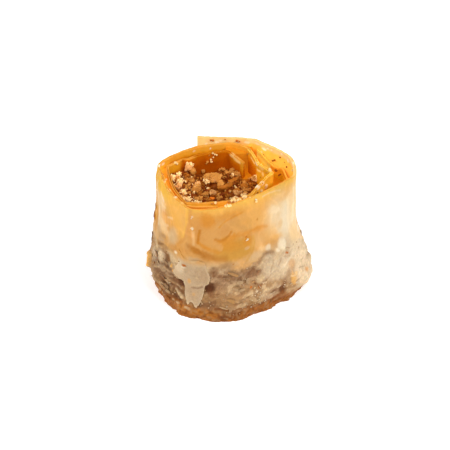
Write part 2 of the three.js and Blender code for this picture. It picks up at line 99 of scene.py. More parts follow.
# Marks on the wall: direction, height, half width, half height, turn, colour, strength, softness, rise
FIELDS = [
    (-142, 34.6, 8.6, 4.4, 0, "gold", 0.9, 0.5, 0.0), (-128, 31.0, 3.2, 5.0, 0, "gold", 0.8, 0.5, 0.0),
    (-150, 28.4, 4.6, 2.0, 6, "warm", 0.8, 0.6, 0.0), (-138.5, 24.4, 2.2, 3.4, -32, "straw", 0.75, 0.6, 0.0),
    (-161, 31.8, 3.4, 2.4, 10, "cream", 0.7, 0.6, 0.0), (-158, 24.4, 4.6, 1.8, 0, "cream", 0.7, 0.6, 0.0),
    (-173, 30.0, 4.0, 6.0, 0, "cream", 0.6, 0.7, 0.0), (-172, 22.0, 4.5, 2.4, 0, "straw", 0.7, 0.6, 0.0),
    (-114, 31.0, 3.4, 5.0, 0, "tawny", 0.75, 0.5, 0.0), (-106.5, 33.6, 1.7, 3.0, 12, "ochre", 0.7, 0.5, 0.0),
    (-90, 34.3, 6.0, 1.3, 0, "ochre", 0.5, 0.7, 0.0), (-104, 29.0, 3.0, 2.0, -25, "honey", 0.8, 0.5, 0.0),
    (-81, 31.8, 3.6, 1.8, 0, "honey", 0.6, 0.5, 0.0), (-94, 29.4, 2.0, 1.7, 0, "tawny", 0.7, 0.5, 0.0),
    (-72, 30.4, 2.0, 0.8, 0, "tawny", 0.6, 0.7, 0.0), (-60, 31.0, 7.6, 3.6, 0, "gold", 0.5, 0.7, 0.0),
    (-91, 26.0, 3.4, 1.5, 0, "ochre", 0.75, 0.5, -0.05), (-82, 22.4, 8.2, 3.2, 0, "olive", 0.9, 0.4, 0.0),
    (-90, 24.0, 4.0, 1.6, -6, "ochre", 0.5, 0.7, 0.0), (-71.5, 24.0, 2.2, 2.0, -20, "ochre", 0.6, 0.6, 0.0),
    (-62, 26.8, 7.0, 0.8, -2, "ochre", 0.55, 0.8, 0.0), (-44, 26.3, 3.0, 0.7, -4, "ochre", 0.2, 0.8, 0.0),
    (-56.5, 22.2, 3.0, 2.2, 0, "cream", 0.25, 0.8, 0.0), (-74, 17.6, 5.6, 1.4, 4, "honey", 0.8, 0.5, 0.0),
    (-64, 18.6, 3.4, 1.2, 8, "straw", 0.6, 0.6, 0.0), (-40, 23.8, 4.4, 1.9, 0, "gold", 0.4, 0.8, 0.0),
    (-28, 29.0, 7.6, 6.6, 0, "cream", 0.85, 0.6, 0.0), (-15, 26.0, 5.2, 7.4, 0, "pearl", 0.8, 0.6, 0.0),
    (-24, 23.0, 2.6, 4.0, 0, "pearl", 0.5, 0.6, 0.0), (-165, 36.0, 8.0, 2.2, 0, "rim", 0.9, 0.5, 0.0),
    (-20, 13.5, 7.0, 6.0, 0, "oat", 0.8, 0.6, 0.0), (-8, 12.5, 4.6, 7.0, 0, "shell", 0.9, 0.5, 0.0),
    (-156, 10.0, 5.0, 4.0, 0, "mauve", 0.3, 0.6, 0.0), (-50, 5.8, 5.0, 2.0, 0, "oat", 0.5, 0.6, 0.0),
    (-36, 30.6, 2.8, 1.6, -15, "pearl", 0.45, 0.6, 0.0), (-36, 27.6, 2.0, 1.4, -25, "pearl", 0.35, 0.7, 0.0),
    (-26.5, 25.0, 1.2, 1.6, -10, "gold", 0.4, 0.6, 0.0), (-31, 21.6, 2.4, 0.8, -5, "gold", 0.45, 0.6, 0.0),
    (-14, 35.4, 2.6, 1.8, 0, "gold", 0.5, 0.6, 0.0), (-3, 33, 4.0, 5.0, 0, "cream", 0.8, 0.6, 0.0), (-22, 33.4, 2.4, 1.2, 0, "gold", 0.4, 0.6, 0.0),
    (-9, 20.0, 3.0, 3.0, 0, "cream", 0.8, 0.5, 0.0), (-4, 30.0, 4.0, 7.0, 0, "cream", 0.7, 0.6, 0.0),
]
MARKS = [
    (177, 7.6, 3.4, 2.1, 0, "gold", 0.95, 0.2, 1.5), (174, 4.6, 3.0, 1.2, 0, "straw", 0.7, 0.4, 0.3),
    (1, 5.0, 6.2, 3.9, 0, "shell", 0.9, 0.16, 0.7), (3, 12.6, 4.4, 2.3, 4, "shell", 0.8, 0.16, 0.5),
    (2, 17.2, 3.0, 2.1, -6, "cream", 0.7, 0.16, 0.35), (0, 19.8, 2.2, 1.1, 0, "pearl", 0.6, 0.2, 0.3),
    (176, 15.0, 5.0, 2.6, 0, "tan", 0.5, 0.5, -0.6), (-172, 15.4, 3.0, 2.2, 0, "tan", 0.8, 0.5, 0.0),
    (176, 23.0, 1.6, 1.2, 0, "brown", 0.8, 0.4, 0.5), (178, 26.2, 1.2, 0.8, 0, "brown", 0.7, 0.4, 0.4),
    (-177, 33.5, 0.6, 0.5, 0, "gold", 0.6, 0.4, 0.6),
    (-98.5, 24.6, 0.9, 1.2, 42, "honey", 0.9, 0.5, 0.08), (-107, 22.2, 2.4, 1.0, -22, "rust", 0.5, 0.8, -0.06),
    (-114.5, 23.6, 2.0, 0.9, -30, "amber", 0.7, 0.6, -0.05), (-125, 22.4, 2.2, 0.9, 18, "tawny", 0.6, 0.6, 0.0),
    (-136, 21.4, 2.4, 0.9, 10, "tawny", 0.6, 0.6, 0.0), (-133, 20.4, 0.8, 0.5, 25, "pearl", 0.8, 0.5, 0.12),
    (-116, 20.6, 1.8, 0.7, 0, "straw", 0.6, 0.6, 0.0),
    (-28.5, 18.7, 2.0, 1.7, -12, "pearl", 0.85, 0.4, 0.3), (-46, 19.5, 1.4, 0.9, 0, "pearl", 0.6, 0.5, 0.2),
    (-54.5, 20.0, 1.5, 0.7, 0, "cream", 0.4, 0.6, 0.1), (-35, 17.4, 0.9, 0.5, -10, "pearl", 0.8, 0.4, 0.2),
    (-72.5, 21.8, 0.9, 0.4, 0, "straw", 0.5, 0.5, 0.05),
    (-97, 12.6, 2.2, 1.6, 0, "mauve", 0.6, 0.5, 0.0), (-102, 16.8, 1.4, 1.8, -15, "brown", 0.7, 0.5, -0.15),
    (-89, 14.2, 3.0, 1.0, -4, "brown", 0.7, 0.5, -0.12), (-72, 14.8, 2.8, 1.0, 6, "brown", 0.6, 0.5, -0.12),
    (-83, 16.0, 3.0, 0.8, 0, "tan", 0.6, 0.6, 0.0), (-93, 18.2, 2.4, 1.2, 0, "tan", 0.7, 0.5, 0.0),
    (-42, 13.0, 6.4, 3.6, 0, "oat", 0.9, 0.4, 0.0), (-49, 17.0, 1.5, 0.8, 0, "oat", 0.8, 0.4, 0.1),
    (-38, 15.9, 2.2, 0.8, 8, "straw", 0.6, 0.5, 0.08), (-44, 10.6, 2.4, 1.0, 0, "straw", 0.4, 0.6, 0.08),
    (-27, 12.6, 3.6, 1.6, 8, "shell", 0.6, 0.5, 0.1), (-62.2, 11.7, 1.7, 1.2, 0, "straw", 0.85, 0.35, 0.25),
    (-59.6, 8.8, 0.9, 0.7, 0, "straw", 0.85, 0.35, 0.2), (-55.6, 7.4, 1.4, 0.6, 0, "straw", 0.85, 0.4, 0.2),
    (-59.4, 6.2, 0.9, 0.5, 0, "straw", 0.6, 0.4, 0.15), (-73, 8.6, 0.8, 0.6, 0, "straw", 0.6, 0.4, 0.15),
    (-67.4, 8.5, 0.4, 0.3, 0, "pearl", 0.6, 0.4, 0.15), (-66.2, 5.6, 0.6, 0.3, 0, "straw", 0.7, 0.4, 0.15),
    (-88, 12.0, 0.9, 0.6, 0, "straw", 0.5, 0.4, 0.15), (-85.6, 11.0, 0.7, 0.4, 0, "straw", 0.45, 0.4, 0.1),
    (-82, 9.2, 1.2, 0.6, 0, "mauve", 0.6, 0.5, -0.1), (-86.6, 6.4, 0.7, 0.5, 0, "umber", 0.6, 0.5, -0.15),
    (-50, 6.2, 2.6, 1.2, 0, "tan", 0.5, 0.6, 0.0), (-83.6, 13.4, 0.6, 0.35, 0, "umber", 0.6, 0.5, -0.1),
    (-88.6, 12.9, 0.5, 0.3, 0, "umber", 0.6, 0.5, -0.1), (-79, 11.5, 3.5, 1.2, 0, "tan", 0.4, 0.6, 0.0),
    (-38, 5.2, 1.7, 1.3, 0, "umber", 0.95, 0.5, -0.4), (-35.4, 6.9, 0.9, 0.8, 0, "brown", 0.85, 0.4, -0.25),
    (-44, 5.8, 1.4, 0.8, 0, "brown", 0.6, 0.6, -0.15), (-40, 4.0, 2.4, 0.6, 0, "char", 0.7, 0.5, -0.2),
    (-30, 9.8, 1.0, 1.0, 0, "tan", 0.5, 0.5, 0.0), (-25.4, 7.4, 1.3, 2.0, 0, "gold", 0.7, 0.4, 0.1),
    (-24, 11.6, 1.4, 1.8, 20, "tawny", 0.5, 0.6, 0.0), (-15, 7.0, 3.0, 4.2, 0, "shell", 0.9, 0.5, 0.0),
    (-8.5, 7.2, 0.9, 0.7, -20, "ochre", 0.7, 0.5, 0.0), (-10, 14.0, 3.0, 3.0, 0, "shell", 0.7, 0.5, 0.0),
    (-88, 2.8, 2.4, 1.4, 0, "umber", 0.65, 0.6, -0.15), (-95.5, 1.6, 1.4, 1.3, 0, "umber", 0.7, 0.5, -0.15),
    (-40, 1.8, 7.0, 1.7, 0, "base", 0.6, 0.6, 0.0), (-43, 2.6, 3.0, 1.2, 0, "char", 0.6, 0.5, -0.1), (-118, 2.6, 6.0, 1.6, 0, "amber", 0.35, 0.7, 0.0),
    (-26.0, 15.6, 0.7, 0.3, -14, "spot", 0.98, 0.4, 0.0), (-72.2, 10.3, 0.35, 0.25, 0, "spot", 0.9, 0.4, 0.0),
    (-63.8, 9.3, 0.6, 0.35, 0, "spot", 0.9, 0.4, -0.1), (-73, 25.4, 0.5, 0.2, 0, "spot", 0.9, 0.4, 0.0),
    (-59, 30.0, 0.35, 0.3, 0, "rust", 0.6, 0.4, 0.0), (-87, 18.3, 0.25, 0.2, 0, "rust", 0.7, 0.4, 0.0),
    (-117, 35.0, 0.25, 0.25, 0, "pearl", 0.9, 0.4, 0.1), (-117, 31.2, 0.25, 0.3, 0, "pearl", 0.9, 0.4, 0.1),
    (-155, 21.8, 2.2, 0.6, 12, "tan", 0.7, 0.5, -0.05), (-153, 19.0, 4.4, 0.8, 10, "tan", 0.8, 0.5, -0.08),
    (-157, 20.3, 2.6, 0.5, 12, "straw", 0.6, 0.5, 0.08), (-145.5, 16.6, 2.3, 1.8, 10, "brown", 0.75, 0.5, -0.1),
    (-152, 17.6, 2.4, 0.6, 10, "mauve", 0.7, 0.5, 0.0), (-137.5, 17.6, 1.4, 1.4, 30, "straw", 0.75, 0.5, 0.12),
    (-158, 15.0, 3.2, 1.3, 8, "mauve", 0.6, 0.5, 0.0), (-141, 14.0, 2.6, 0.7, -8, "umber", 0.8, 0.5, -0.15),
    (-147, 12.6, 2.0, 0.8, 5, "beige", 0.7, 0.5, 0.1), (-150, 10.8, 3.6, 1.0, 5, "brown", 0.7, 0.5, -0.1),
    # The darkest mark just below the torn leaf's lower left edge is a painted shadow of the leaf.
    (-133, 11.4, 4.4, 1.5, -6, "umber", 0.8, 0.4, -0.3), (-126, 11.6, 1.5, 1.2, 0, "soot", 0.95, 0.4, -0.35),
    (-134, 8.2, 3.2, 1.2, -4, "brown", 0.8, 0.5, -0.15), (-131, 5.8, 3.8, 0.6, -5, "soot", 0.8, 0.5, -0.25),
    (-148, 8.6, 2.4, 0.9, 6, "umber", 0.55, 0.5, -0.15), (-151, 6.5, 0.9, 0.5, 15, "straw", 0.85, 0.4, 0.2),
    (-137.6, 15.2, 0.5, 0.6, 0, "warm", 0.95, 0.3, 0.3), (-134.8, 13.9, 0.7, 0.6, 0, "warm", 0.9, 0.3, 0.3),
    (-105, 11.3, 1.6, 1.5, -12, "soot", 0.98, 0.4, -0.4), (-103.6, 9.4, 1.0, 0.8, -20, "brown", 0.8, 0.5, -0.2),
    (-129, 4.2, 0.7, 0.35, 0, "straw", 0.7, 0.4, 0.15), (-121, 3.5, 0.8, 0.4, -20, "straw", 0.7, 0.4, 0.15),
    (-134, 4.4, 0.5, 0.3, 0, "straw", 0.6, 0.4, 0.1), (-115.5, 4.2, 0.8, 0.35, 0, "straw", 0.5, 0.5, 0.1),
    (-152.5, 15.7, 1.8, 1.5, 0, "shell", 0.8, 0.5, 0.12), (-166, 14.4, 2.2, 1.5, 0, "oat", 0.7, 0.5, 0.1),
    (-157, 20.8, 3.4, 1.5, 6, "beige", 0.5, 0.6, 0.0),
]
# Streaks on the wall: places as direction and height, half width, colour, strength, softness, rise
STREAKS = [
    ([(-118.4, 37.2), (-119, 33), (-121, 30), (-123.5, 27), (-128, 24.6), (-133, 22.6)], 0.5, "tawny", 0.7, 0.8, -0.06),
    ([(-120.2, 37.2), (-121, 33), (-123, 30), (-126, 26.8)], 0.45, "rim", 0.5, 0.8, 0.05),
    ([(-112.0, 30.6), (-113.0, 28.2), (-113.3, 26.2)], 0.34, "amber", 0.95, 0.8, -0.06),
    ([(-112.6, 26.4), (-109.5, 25.0), (-106, 24.2)], 0.4, "ochre", 0.6, 0.8, -0.04),
    ([(-116.4, 30.0), (-116.3, 25.6)], 0.3, "cream", 0.35, 0.8, 0.05),
    ([(-114.6, 31.0), (-114.8, 26.5)], 0.2, "tawny", 0.5, 0.7, -0.04),
    ([(-119.5, 24.9), (-115, 23.6), (-110, 22.0), (-105, 21.2), (-100, 20.8), (-94, 20.6)], 0.9, "rust", 0.5, 0.9, -0.06),
    ([(-110, 25.6), (-105, 24.0), (-99, 22.8)], 0.5, "ochre", 0.5, 0.8, 0.0),
    ([(-104, 27.3), (-100.5, 25.4), (-97.5, 23.6)], 0.5, "honey", 0.8, 0.7, 0.06),
    ([(-101, 27.2), (-97, 26.3), (-93, 26.6), (-90, 27.6), (-88.4, 28.4)], 0.45, "amber", 0.8, 0.7, -0.08),
    ([(-98, 31), (-93, 32.6), (-86, 33.4), (-78, 34)], 0.3, "ochre", 0.6, 0.8, -0.05),
    ([(-97.5, 27.8), (-98, 30), (-95, 31.8)], 0.25, "honey", 0.7, 0.8, 0.05),
    ([(-64, 24.8), (-62.6, 22.4), (-66.5, 20), (-74, 18.4)], 0.4, "olive", 0.5, 0.8, 0.0),
    ([(-80, 26.2), (-70, 26.6), (-60, 27.2), (-52, 27.1), (-46, 26.4)], 0.45, "ochre", 0.4, 0.9, -0.03),
    ([(-163, 34.6), (-156, 33.4)], 0.5, "pearl", 0.6, 0.7, 0.08), ([(-162, 31.4), (-151, 31.8)], 0.35, "cream", 0.7, 0.7, 0.08),
    ([(-147, 29.6), (-139, 30.6)], 0.35, "cream", 0.6, 0.7, 0.06), ([(-160, 36.2), (-147, 35.4)], 0.4, "rim", 0.5, 0.8, 0.05),
    ([(-158, 29.4), (-147, 30.0)], 0.4, "ochre", 0.4, 0.8, -0.04), ([(-165, 26), (-155, 25.6), (-146, 26.8)], 0.4, "cream", 0.5, 0.8, 0.06),
    ([(-176, 36), (-172, 30), (-169, 23)], 0.45, "pearl", 0.55, 0.7, 0.08), ([(-179, 34), (-176, 26), (-174, 20)], 0.4, "ochre", 0.5, 0.7, -0.08),
    ([(-52, 37.0), (-43, 37.3), (-33, 37.0), (-27, 36.4)], 0.25, "cream", 0.7, 0.7, 0.0),
    ([(-18.6, 30), (-18.2, 21)], 0.24, "pearl", 0.5, 0.8, 0.04), ([(-10, 35), (-9.5, 24)], 0.3, "pearl", 0.6, 0.8, 0.04),
    ([(-100, 15.6), (-92, 14.8), (-84, 15.2), (-76, 15.8), (-68, 15.6), (-60, 16.6), (-53, 18.0), (-46, 18.3), (-41, 17.6)],
     0.6, "brown", 0.55, 0.9, -0.08),
    ([(-34, 12.0), (-27, 13.4), (-19, 14.6)], 0.35, "pearl", 0.5, 0.7, 0.1), ([(-30, 15.0), (-22, 14.0)], 0.25, "tan", 0.4, 0.7, -0.05),
    ([(-52, 15.0), (-46, 14.0), (-41, 12.2)], 0.25, "straw", 0.5, 0.7, 0.08), ([(-50, 12.6), (-43, 15.4)], 0.22, "tan", 0.5, 0.7, -0.06),
    ([(-39, 13.4), (-34, 14.8)], 0.25, "tan", 0.5, 0.7, -0.06), ([(-56, 10.4), (-50, 11.6)], 0.25, "tan", 0.5, 0.7, -0.06),
    ([(-134, 12.5), (-130, 12.2), (-127.5, 12.6)], 0.28, "beige", 0.9, 0.5, 0.3), ([(-132, 9.7), (-127, 9.2)], 0.3, "beige", 0.8, 0.5, 0.28),
    ([(-145, 8.6), (-139, 7.6)], 0.4, "beige", 0.8, 0.5, 0.25), ([(-133.5, 7.8), (-129, 7.2), (-125.4, 6.6)], 0.5, "straw", 0.85, 0.5, 0.35),
    ([(-147, 12.2), (-141, 11.4), (-137, 11.6)], 0.3, "beige", 0.6, 0.5, 0.2), ([(-143, 9.6), (-136, 9.9)], 0.3, "tan", 0.6, 0.5, 0.15),
    ([(-160, 18.2), (-151, 19.8)], 0.35, "brown", 0.6, 0.6, -0.1), ([(-158, 13.0), (-149, 13.8)], 0.35, "brown", 0.6, 0.6, -0.1),
    ([(-160, 10.6), (-152, 12.2)], 0.3, "straw", 0.5, 0.6, 0.15), ([(-143, 9.0), (-136, 6.6)], 0.25, "umber", 0.6, 0.5, -0.2),
    ([(-100, 4.6), (-84, 4.4), (-68, 3.8), (-55, 3.4), (-42, 3.6)], 0.35, "char", 0.75, 0.7, -0.15),
    ([(-140, 4.9), (-128, 5.2), (-122, 4.8)], 0.3, "char", 0.6, 0.7, -0.15), ([(-156, 6.0), (-142, 5.4)], 0.3, "amber", 0.5, 0.7, 0.1),
]
# The torn leaf's edge on the wall, as direction and height
LEAF_EDGE = [
    (-134.2, 14.5), (-133.4, 15.6), (-131.4, 16.7), (-129.8, 17.4), (-129.4, 19.0), (-130.6, 20.6), (-130.8, 22.2),
    (-128.6, 21.9), (-126.0, 20.7), (-121.5, 20.0), (-116.5, 20.5), (-111.5, 20.3), (-108.2, 20.0), (-107.4, 18.6),
    (-106.4, 17.4), (-104.9, 16.2), (-104.6, 14.6), (-105.6, 13.1), (-107.8, 12.6), (-108.6, 10.6), (-109.6, 8.8),
    (-111.0, 7.0), (-112.6, 5.5), (-114.2, 4.6), (-115.6, 5.2), (-117.0, 6.4), (-118.4, 6.3), (-120.0, 5.0),
    (-120.8, 6.0), (-121.6, 7.4), (-122.6, 9.0), (-122.0, 10.2), (-122.6, 11.4), (-123.6, 12.6), (-127.6, 12.8),
    (-131.4, 13.1), (-133.4, 13.6),
]


def smooth(x, low, high):
    """A soft step from 0 at low to 1 at high."""
    share = np.clip((x - low) / (high - low), 0.0, 1.0)
    return share * share * (3.0 - 2.0 * share)


def hashed(value):
    """Whole numbers turned into values between 0 and 1, the same on every run."""
    mask = np.uint64(0xFFFFFFFF)
    value = np.asarray(value, dtype=np.int64).astype(np.uint64) & mask
    value = ((value ^ (value >> np.uint64(16))) * np.uint64(0x45D9F3B)) & mask
    value = ((value ^ (value >> np.uint64(15))) * np.uint64(0x2C1B3C6D)) & mask
    return (value ^ (value >> np.uint64(14))) / 4294967296.0


def noise(points, size, seed):
    """Smooth noise between -1 and 1 in cells of a size."""
    places = np.asarray(points, dtype=float) / size
    cell = np.floor(places)
    part = places - cell
    part = part * part * (3.0 - 2.0 * part)
    cell = cell.astype(np.int64)
    total = np.zeros(places.shape[:-1])
    for corner in np.ndindex(2, 2, 2):
        weight = np.prod(np.where(corner, part, 1.0 - part), axis=-1)
        x, y, z = (cell[..., k] + corner[k] for k in range(3))
        total += weight * hashed((x + 500) * 73856093 + (y + 500) * 19349663 + (z + 500) * 83492791 + seed * 7919)
    return 2.0 * total - 1.0


def clouds(points, size, seed, octaves=3):
    """Noise with finer noise on it, between about -1 and 1."""
    total, weight = 0.0, 1.0
    for k in range(octaves):
        total = total + weight * noise(points, size / 2**k, seed + 31 * k)
        weight *= 0.5
    return total / (2.0 - 2.0 * weight)


def ring_noise(along, height, around):
    """The solids' own noise, which closes on itself after so many cells along the wall."""
    i, j = np.floor(along).astype(int), np.floor(height).astype(int)
    u, v = along - i, height - j
    u, v = u * u * (3 - 2 * u), v * v * (3 - 2 * v)

    def corner(a, b):
        return hashed(((a % around) + around) * 131 + (b + 80) * 7919)

    low = corner(i, j) * (1 - u) + corner(i + 1, j) * u
    high = corner(i, j + 1) * (1 - u) + corner(i + 1, j + 1) * u
    return 2 * (low * (1 - v) + high * v) - 1


class Path:
    """Stations along a creased sheet, clockwise from above, with rounded creases."""

    def __init__(self, creases, step=0.3, rounding=5):
        places = []
        for (x0, y0, rim0, bow), (x1, y1, rim1, _) in zip(creases, creases[1:]):
            length = math.hypot(x1 - x0, y1 - y0)
            t = np.arange(max(1, round(length / step))) / max(1, round(length / step))
            out = bow * 4 * t * (1 - t) / length
            places.append(
                np.stack([x0 + (x1 - x0) * t + (y0 - y1) * out, y0 + (y1 - y0) * t + (x1 - x0) * out,
                          rim0 + (rim1 - rim0) * t], axis=1)
            )
        places = np.vstack([*places, [creases[-1][:3]]])
        padded = np.vstack([places[:1]] * rounding + [places] + [places[-1:]] * rounding)
        kernel = np.ones(2 * rounding + 1) / (2 * rounding + 1)
        soft = np.stack([np.convolve(padded[:, k], kernel, "valid") for k in range(3)], axis=1)
        soft[0], soft[-1] = places[0], places[-1]
        self.x, self.y, self.rim = soft.T
        ahead = np.gradient(soft[:, :2], axis=0)
        ahead /= np.linalg.norm(ahead, axis=1)[:, None]
        self.out_x, self.out_y = -ahead[:, 1], ahead[:, 0]
        self.angle = np.arctan2(self.y, self.x)
        self.tuck, self.frayed = np.zeros(len(self.x)), np.ones(len(self.x))
        self.along = np.concatenate([[0], np.cumsum(np.hypot(np.diff(self.x), np.diff(self.y)))])

    def columns(self):
        """The stations' values as columns, for a table with heights along its rows."""
        return [v[:, None] for v in (self.x, self.y, self.angle, self.out_x, self.out_y, self.tuck)]


def tucked(path, sheet):
    """Draws in the foot of the last stretch, which lies under the sheet's loose end."""
    late = (np.arange(len(path.x)) > len(path.x) / 2) & (path.angle > 0)
    share = 1 - smooth(path.angle, math.radians(TUCK_TO), math.radians(TUCK_FROM))
    path.tuck = np.where(late, sheet / 2 * share, 0.0)
    path.frayed = 1 + 1.8 * np.interp(np.degrees(path.angle) % 360, *LEAN)
    return path


def foot_radius(angle):
    off = (np.degrees(angle) - FLAT_ANGLE) / FLAT_WIDTH
    return FOOT_RADIUS + FOOT_LEAN * np.cos(angle) - FLAT_DEPTH * np.exp(-(off**2))


def wall(x, y, angle, out_x, out_y, tuck, height, push):
    """Points of the outer wall at heights, pushed out from the middle of the sheet."""
    top = FLARE_TOP - FLARE_TILT * np.cos(angle)
    wider = (foot_radius(angle) - tuck - np.hypot(x, y)) * (1 - smooth(height, FLARE_BOTTOM, top))
    wider = wider - EDGE_ROUND * (1 - smooth(height, 0, EDGE_HEIGHT))
    wider = wider - np.interp(np.degrees(angle) % 360, *LEAN) * smooth(height, 34.8, 38.2)
    place = [x + np.cos(angle) * wider + out_x * push, y + np.sin(angle) * wider + out_y * push]
    return np.stack(np.broadcast_arrays(*place, height), axis=-1)


def upright(path, height, push):
    """Points of a sheet that stands straight up."""
    x, y, _, out_x, out_y, _ = path.columns()
    return np.stack(np.broadcast_arrays(x + out_x * push, y + out_y * push, height), axis=-1)


def relief(angle, height, crag):
    """The solids' relief: soft waves above, crags round the foot, and the hollow by the torn leaf."""
    cells = round(2 * math.pi * FOOT_RADIUS / CRAG_SIZE)
    ragged = crag * ring_noise((angle / (2 * math.pi) + 0.5) * cells, height / (0.8 * CRAG_SIZE), cells)
    across = np.sin(7 * angle + 0.12 * height) * np.sin(0.21 * height + 1.5 * np.sin(3 * angle))
    off = ((np.degrees(angle) - HOLLOW["angle"]) / HOLLOW["wide"]) ** 2
    hollow = HOLLOW["deep"] * np.exp(-off - ((height - HOLLOW["z"]) / HOLLOW["tall"]) ** 2)
    return ragged * (1 - smooth(height, 0.4 * CRAG_TOP, CRAG_TOP)) + 0.22 * across * (1 - smooth(height, 32, 37)) - hollow


class Skin:
    """The outer turn as seen from outside, asked for by direction."""

    def __init__(self, path):
        first = path.angle[0]
        late = np.arange(len(path.x)) >= len(path.x) / 2
        seen = ~late | (path.angle < 0) | (path.angle > first)
        order = np.argsort(path.angle[seen])
        columns = (path.angle, path.x, path.y, path.out_x, path.out_y, path.tuck, path.rim)
        table = np.stack([v[seen][order] for v in columns])
        before, after = table[:, -1:].copy(), table[:, :1].copy()
        before[0] -= 2 * math.pi
        after[0] += 2 * math.pi
        self.table = np.hstack([before, table, after])

    def at(self, direction, height, push):
        angle = np.arctan2(np.sin(direction), np.cos(direction))
        x, y, out_x, out_y, tuck, _ = (np.interp(angle, self.table[0], row) for row in self.table[1:])
        return wall(x, y, angle, out_x, out_y, tuck, height, push)


# Colours and marks


def srgb(red, green, blue):
    """A screen colour from 0 to 255 as the linear values that the shaders take."""
    return tuple(c / 12.92 if c <= 0.04045 else ((c + 0.055) / 1.055) ** 2.4 for c in (red / 255, green / 255, blue / 255))


def tint(name, description, *screen):
    return bpy.props.FloatVectorProperty(
        name=name, description=description, subtype="COLOR", size=3, min=0, max=1, default=srgb(*screen)
    )


def length(name, description, default):
    """A length in metres."""
    return bpy.props.FloatProperty(name=name, description=description, subtype="DISTANCE", unit="LENGTH", min=0, default=default)


class BaklavaSizes(bpy.types.PropertyGroup):
    """Sizes of the pastry"""

    turn: length("Turn", "Thickness of one turn of the sheet", 0.00085)
    leaf: length("Loose leaf", "Thickness of a loose leaf between the turns", 0.0005)
    crag: length("Crags", "Height of the ragged crust round the foot", 0.0005)
    fray: length("Fray", "How far the rims of the leaves rise and fall", 0.00022)
    scraps: bpy.props.IntProperty(name="Scraps", description="Number of thin scraps of leaf on the lower wall", min=0, default=230)
    grains: bpy.props.IntProperty(name="Grains", description="Number of grains scattered on the wall", min=0, default=110)


class BaklavaTints(bpy.types.PropertyGroup):
    """Colours of the baked phyllo"""

    rim: tint("Rim", "Wall just below its upper edge", 249, 190, 84)
    gold: tint("Gold", "Glazed leaves near the rim", 243, 180, 90)
    honey: tint("Honey", "Upper wall", 224, 164, 92)
    warm: tint("Warm", "Glazed leaves on the left", 246, 178, 92)
    tawny: tint("Tawny", "Shaded leaves by the front crease", 220, 154, 82)
    ochre: tint("Ochre", "Syrup-soaked leaves near the rim", 224, 144, 48)
    olive: tint("Old gold", "Syrup-soaked arc on the front", 210, 152, 66)
    amber: tint("Amber", "Seams that show through the leaf", 204, 130, 46)
    rust: tint("Rust", "Dark seams", 184, 112, 38)
    cream: tint("Cream", "Pale leaves on the right", 253, 213, 156)
    # Besides pale blisters and streaks, this tint gives the painted highlights on the rims, on the folds and on the
    # torn leaf.
    pearl: tint("Pearl", "Blisters and pale streaks", 255, 234, 198)
    straw: tint("Straw", "Pale scraps", 218, 184, 138)
    leaf: tint("Leaf", "Torn pale leaf", 196, 166, 129)
    beige: tint("Beige", "Soaked crust", 188, 153, 114)
    tan: tint("Tan", "Baked crust", 172, 129, 84)
    mauve: tint("Shade", "Crust over dark layers", 148, 108, 75)
    brown: tint("Brown", "Browned crust", 134, 88, 54)
    umber: tint("Umber", "Hollows in the crust", 114, 67, 34)
    # This darkest tint also gives the painted shadow beside the torn leaf.
    soot: tint("Soot", "Deepest hollows", 94, 51, 24)
    base: tint("Base", "Caramelised foot", 164, 98, 38)
    char: tint("Char", "Darkest line of the foot", 132, 68, 20)
    spot: tint("Spot", "Syrup spots", 190, 98, 20)
    sun: tint("Sun", "Lit inner face of the loose end", 249, 190, 74)
    # This pale tint also gives painted highlights on the rims and folds inside the roll.
    dry_and_highlight: tint("Dry", "Dry edge of the loose end", 250, 205, 132)
    tab: tint("Tab", "Dry end of the sheet", 240, 195, 122)
    edge: tint("Edge", "Edges of the leaves", 228, 159, 61)
    oat: tint("Oat", "Dry pale crust", 215, 188, 152)
    shell: tint("Shell", "Palest crust, on the right", 241, 211, 170)
    comb: tint("Comb", "Left gap and band, lit from behind", 222, 163, 44)
    resin: tint("Resin", "Right leaf, lit from behind", 220, 193, 84)
    # Painted shade at the bottom of the pocket, low on the band and low on the right leaf.
    pool: tint("Pool", "Bottom of the pocket", 192, 127, 9)
    nectar: tint("Nectar", "Leaves that the light shines through", 242, 167, 46)
    # From here to the end of the list the insides step down as painted shade: the deeper below the rim, the darker.
    syrup: tint("Syrup", "Inside of the turns, just below the rim", 221, 152, 42)
    glow: tint("Glow", "Inside of the turns, a little further down", 216, 144, 26)
    deep: tint("Deep", "Inside of the turns, between the leaves", 196, 112, 8)
    dark: tint("Dark", "Inside of the inner turn", 177, 86, 3)
    dusk: tint("Dusk", "Inside of the inner turn, by the nuts", 158, 69, 1)


class BaklavaNuts(bpy.types.PropertyGroup):
    """Chopped pecans"""

    crumbs: bpy.props.IntProperty(name="Crumbs", description="Number of crumbs between the clumps", min=0, default=900)
    small: length("Smallest", "Radius of the smallest crumb", 0.00025)
    large: length("Largest", "Radius of the largest scattered crumb", 0.00095)
    pale: tint("Pale", "Freshly cut nut", 230, 190, 128)
    blush: tint("Blush", "Moist nut", 204, 146, 86)
    flesh: tint("Flesh", "Nut", 184, 122, 54)
    toast: tint("Toast", "Toasted nut", 154, 88, 24)
    skin: tint("Skin", "Brown skin of the nut", 118, 56, 10)
    shade: tint("Shade", "Bed of the heap", 108, 42, 3)


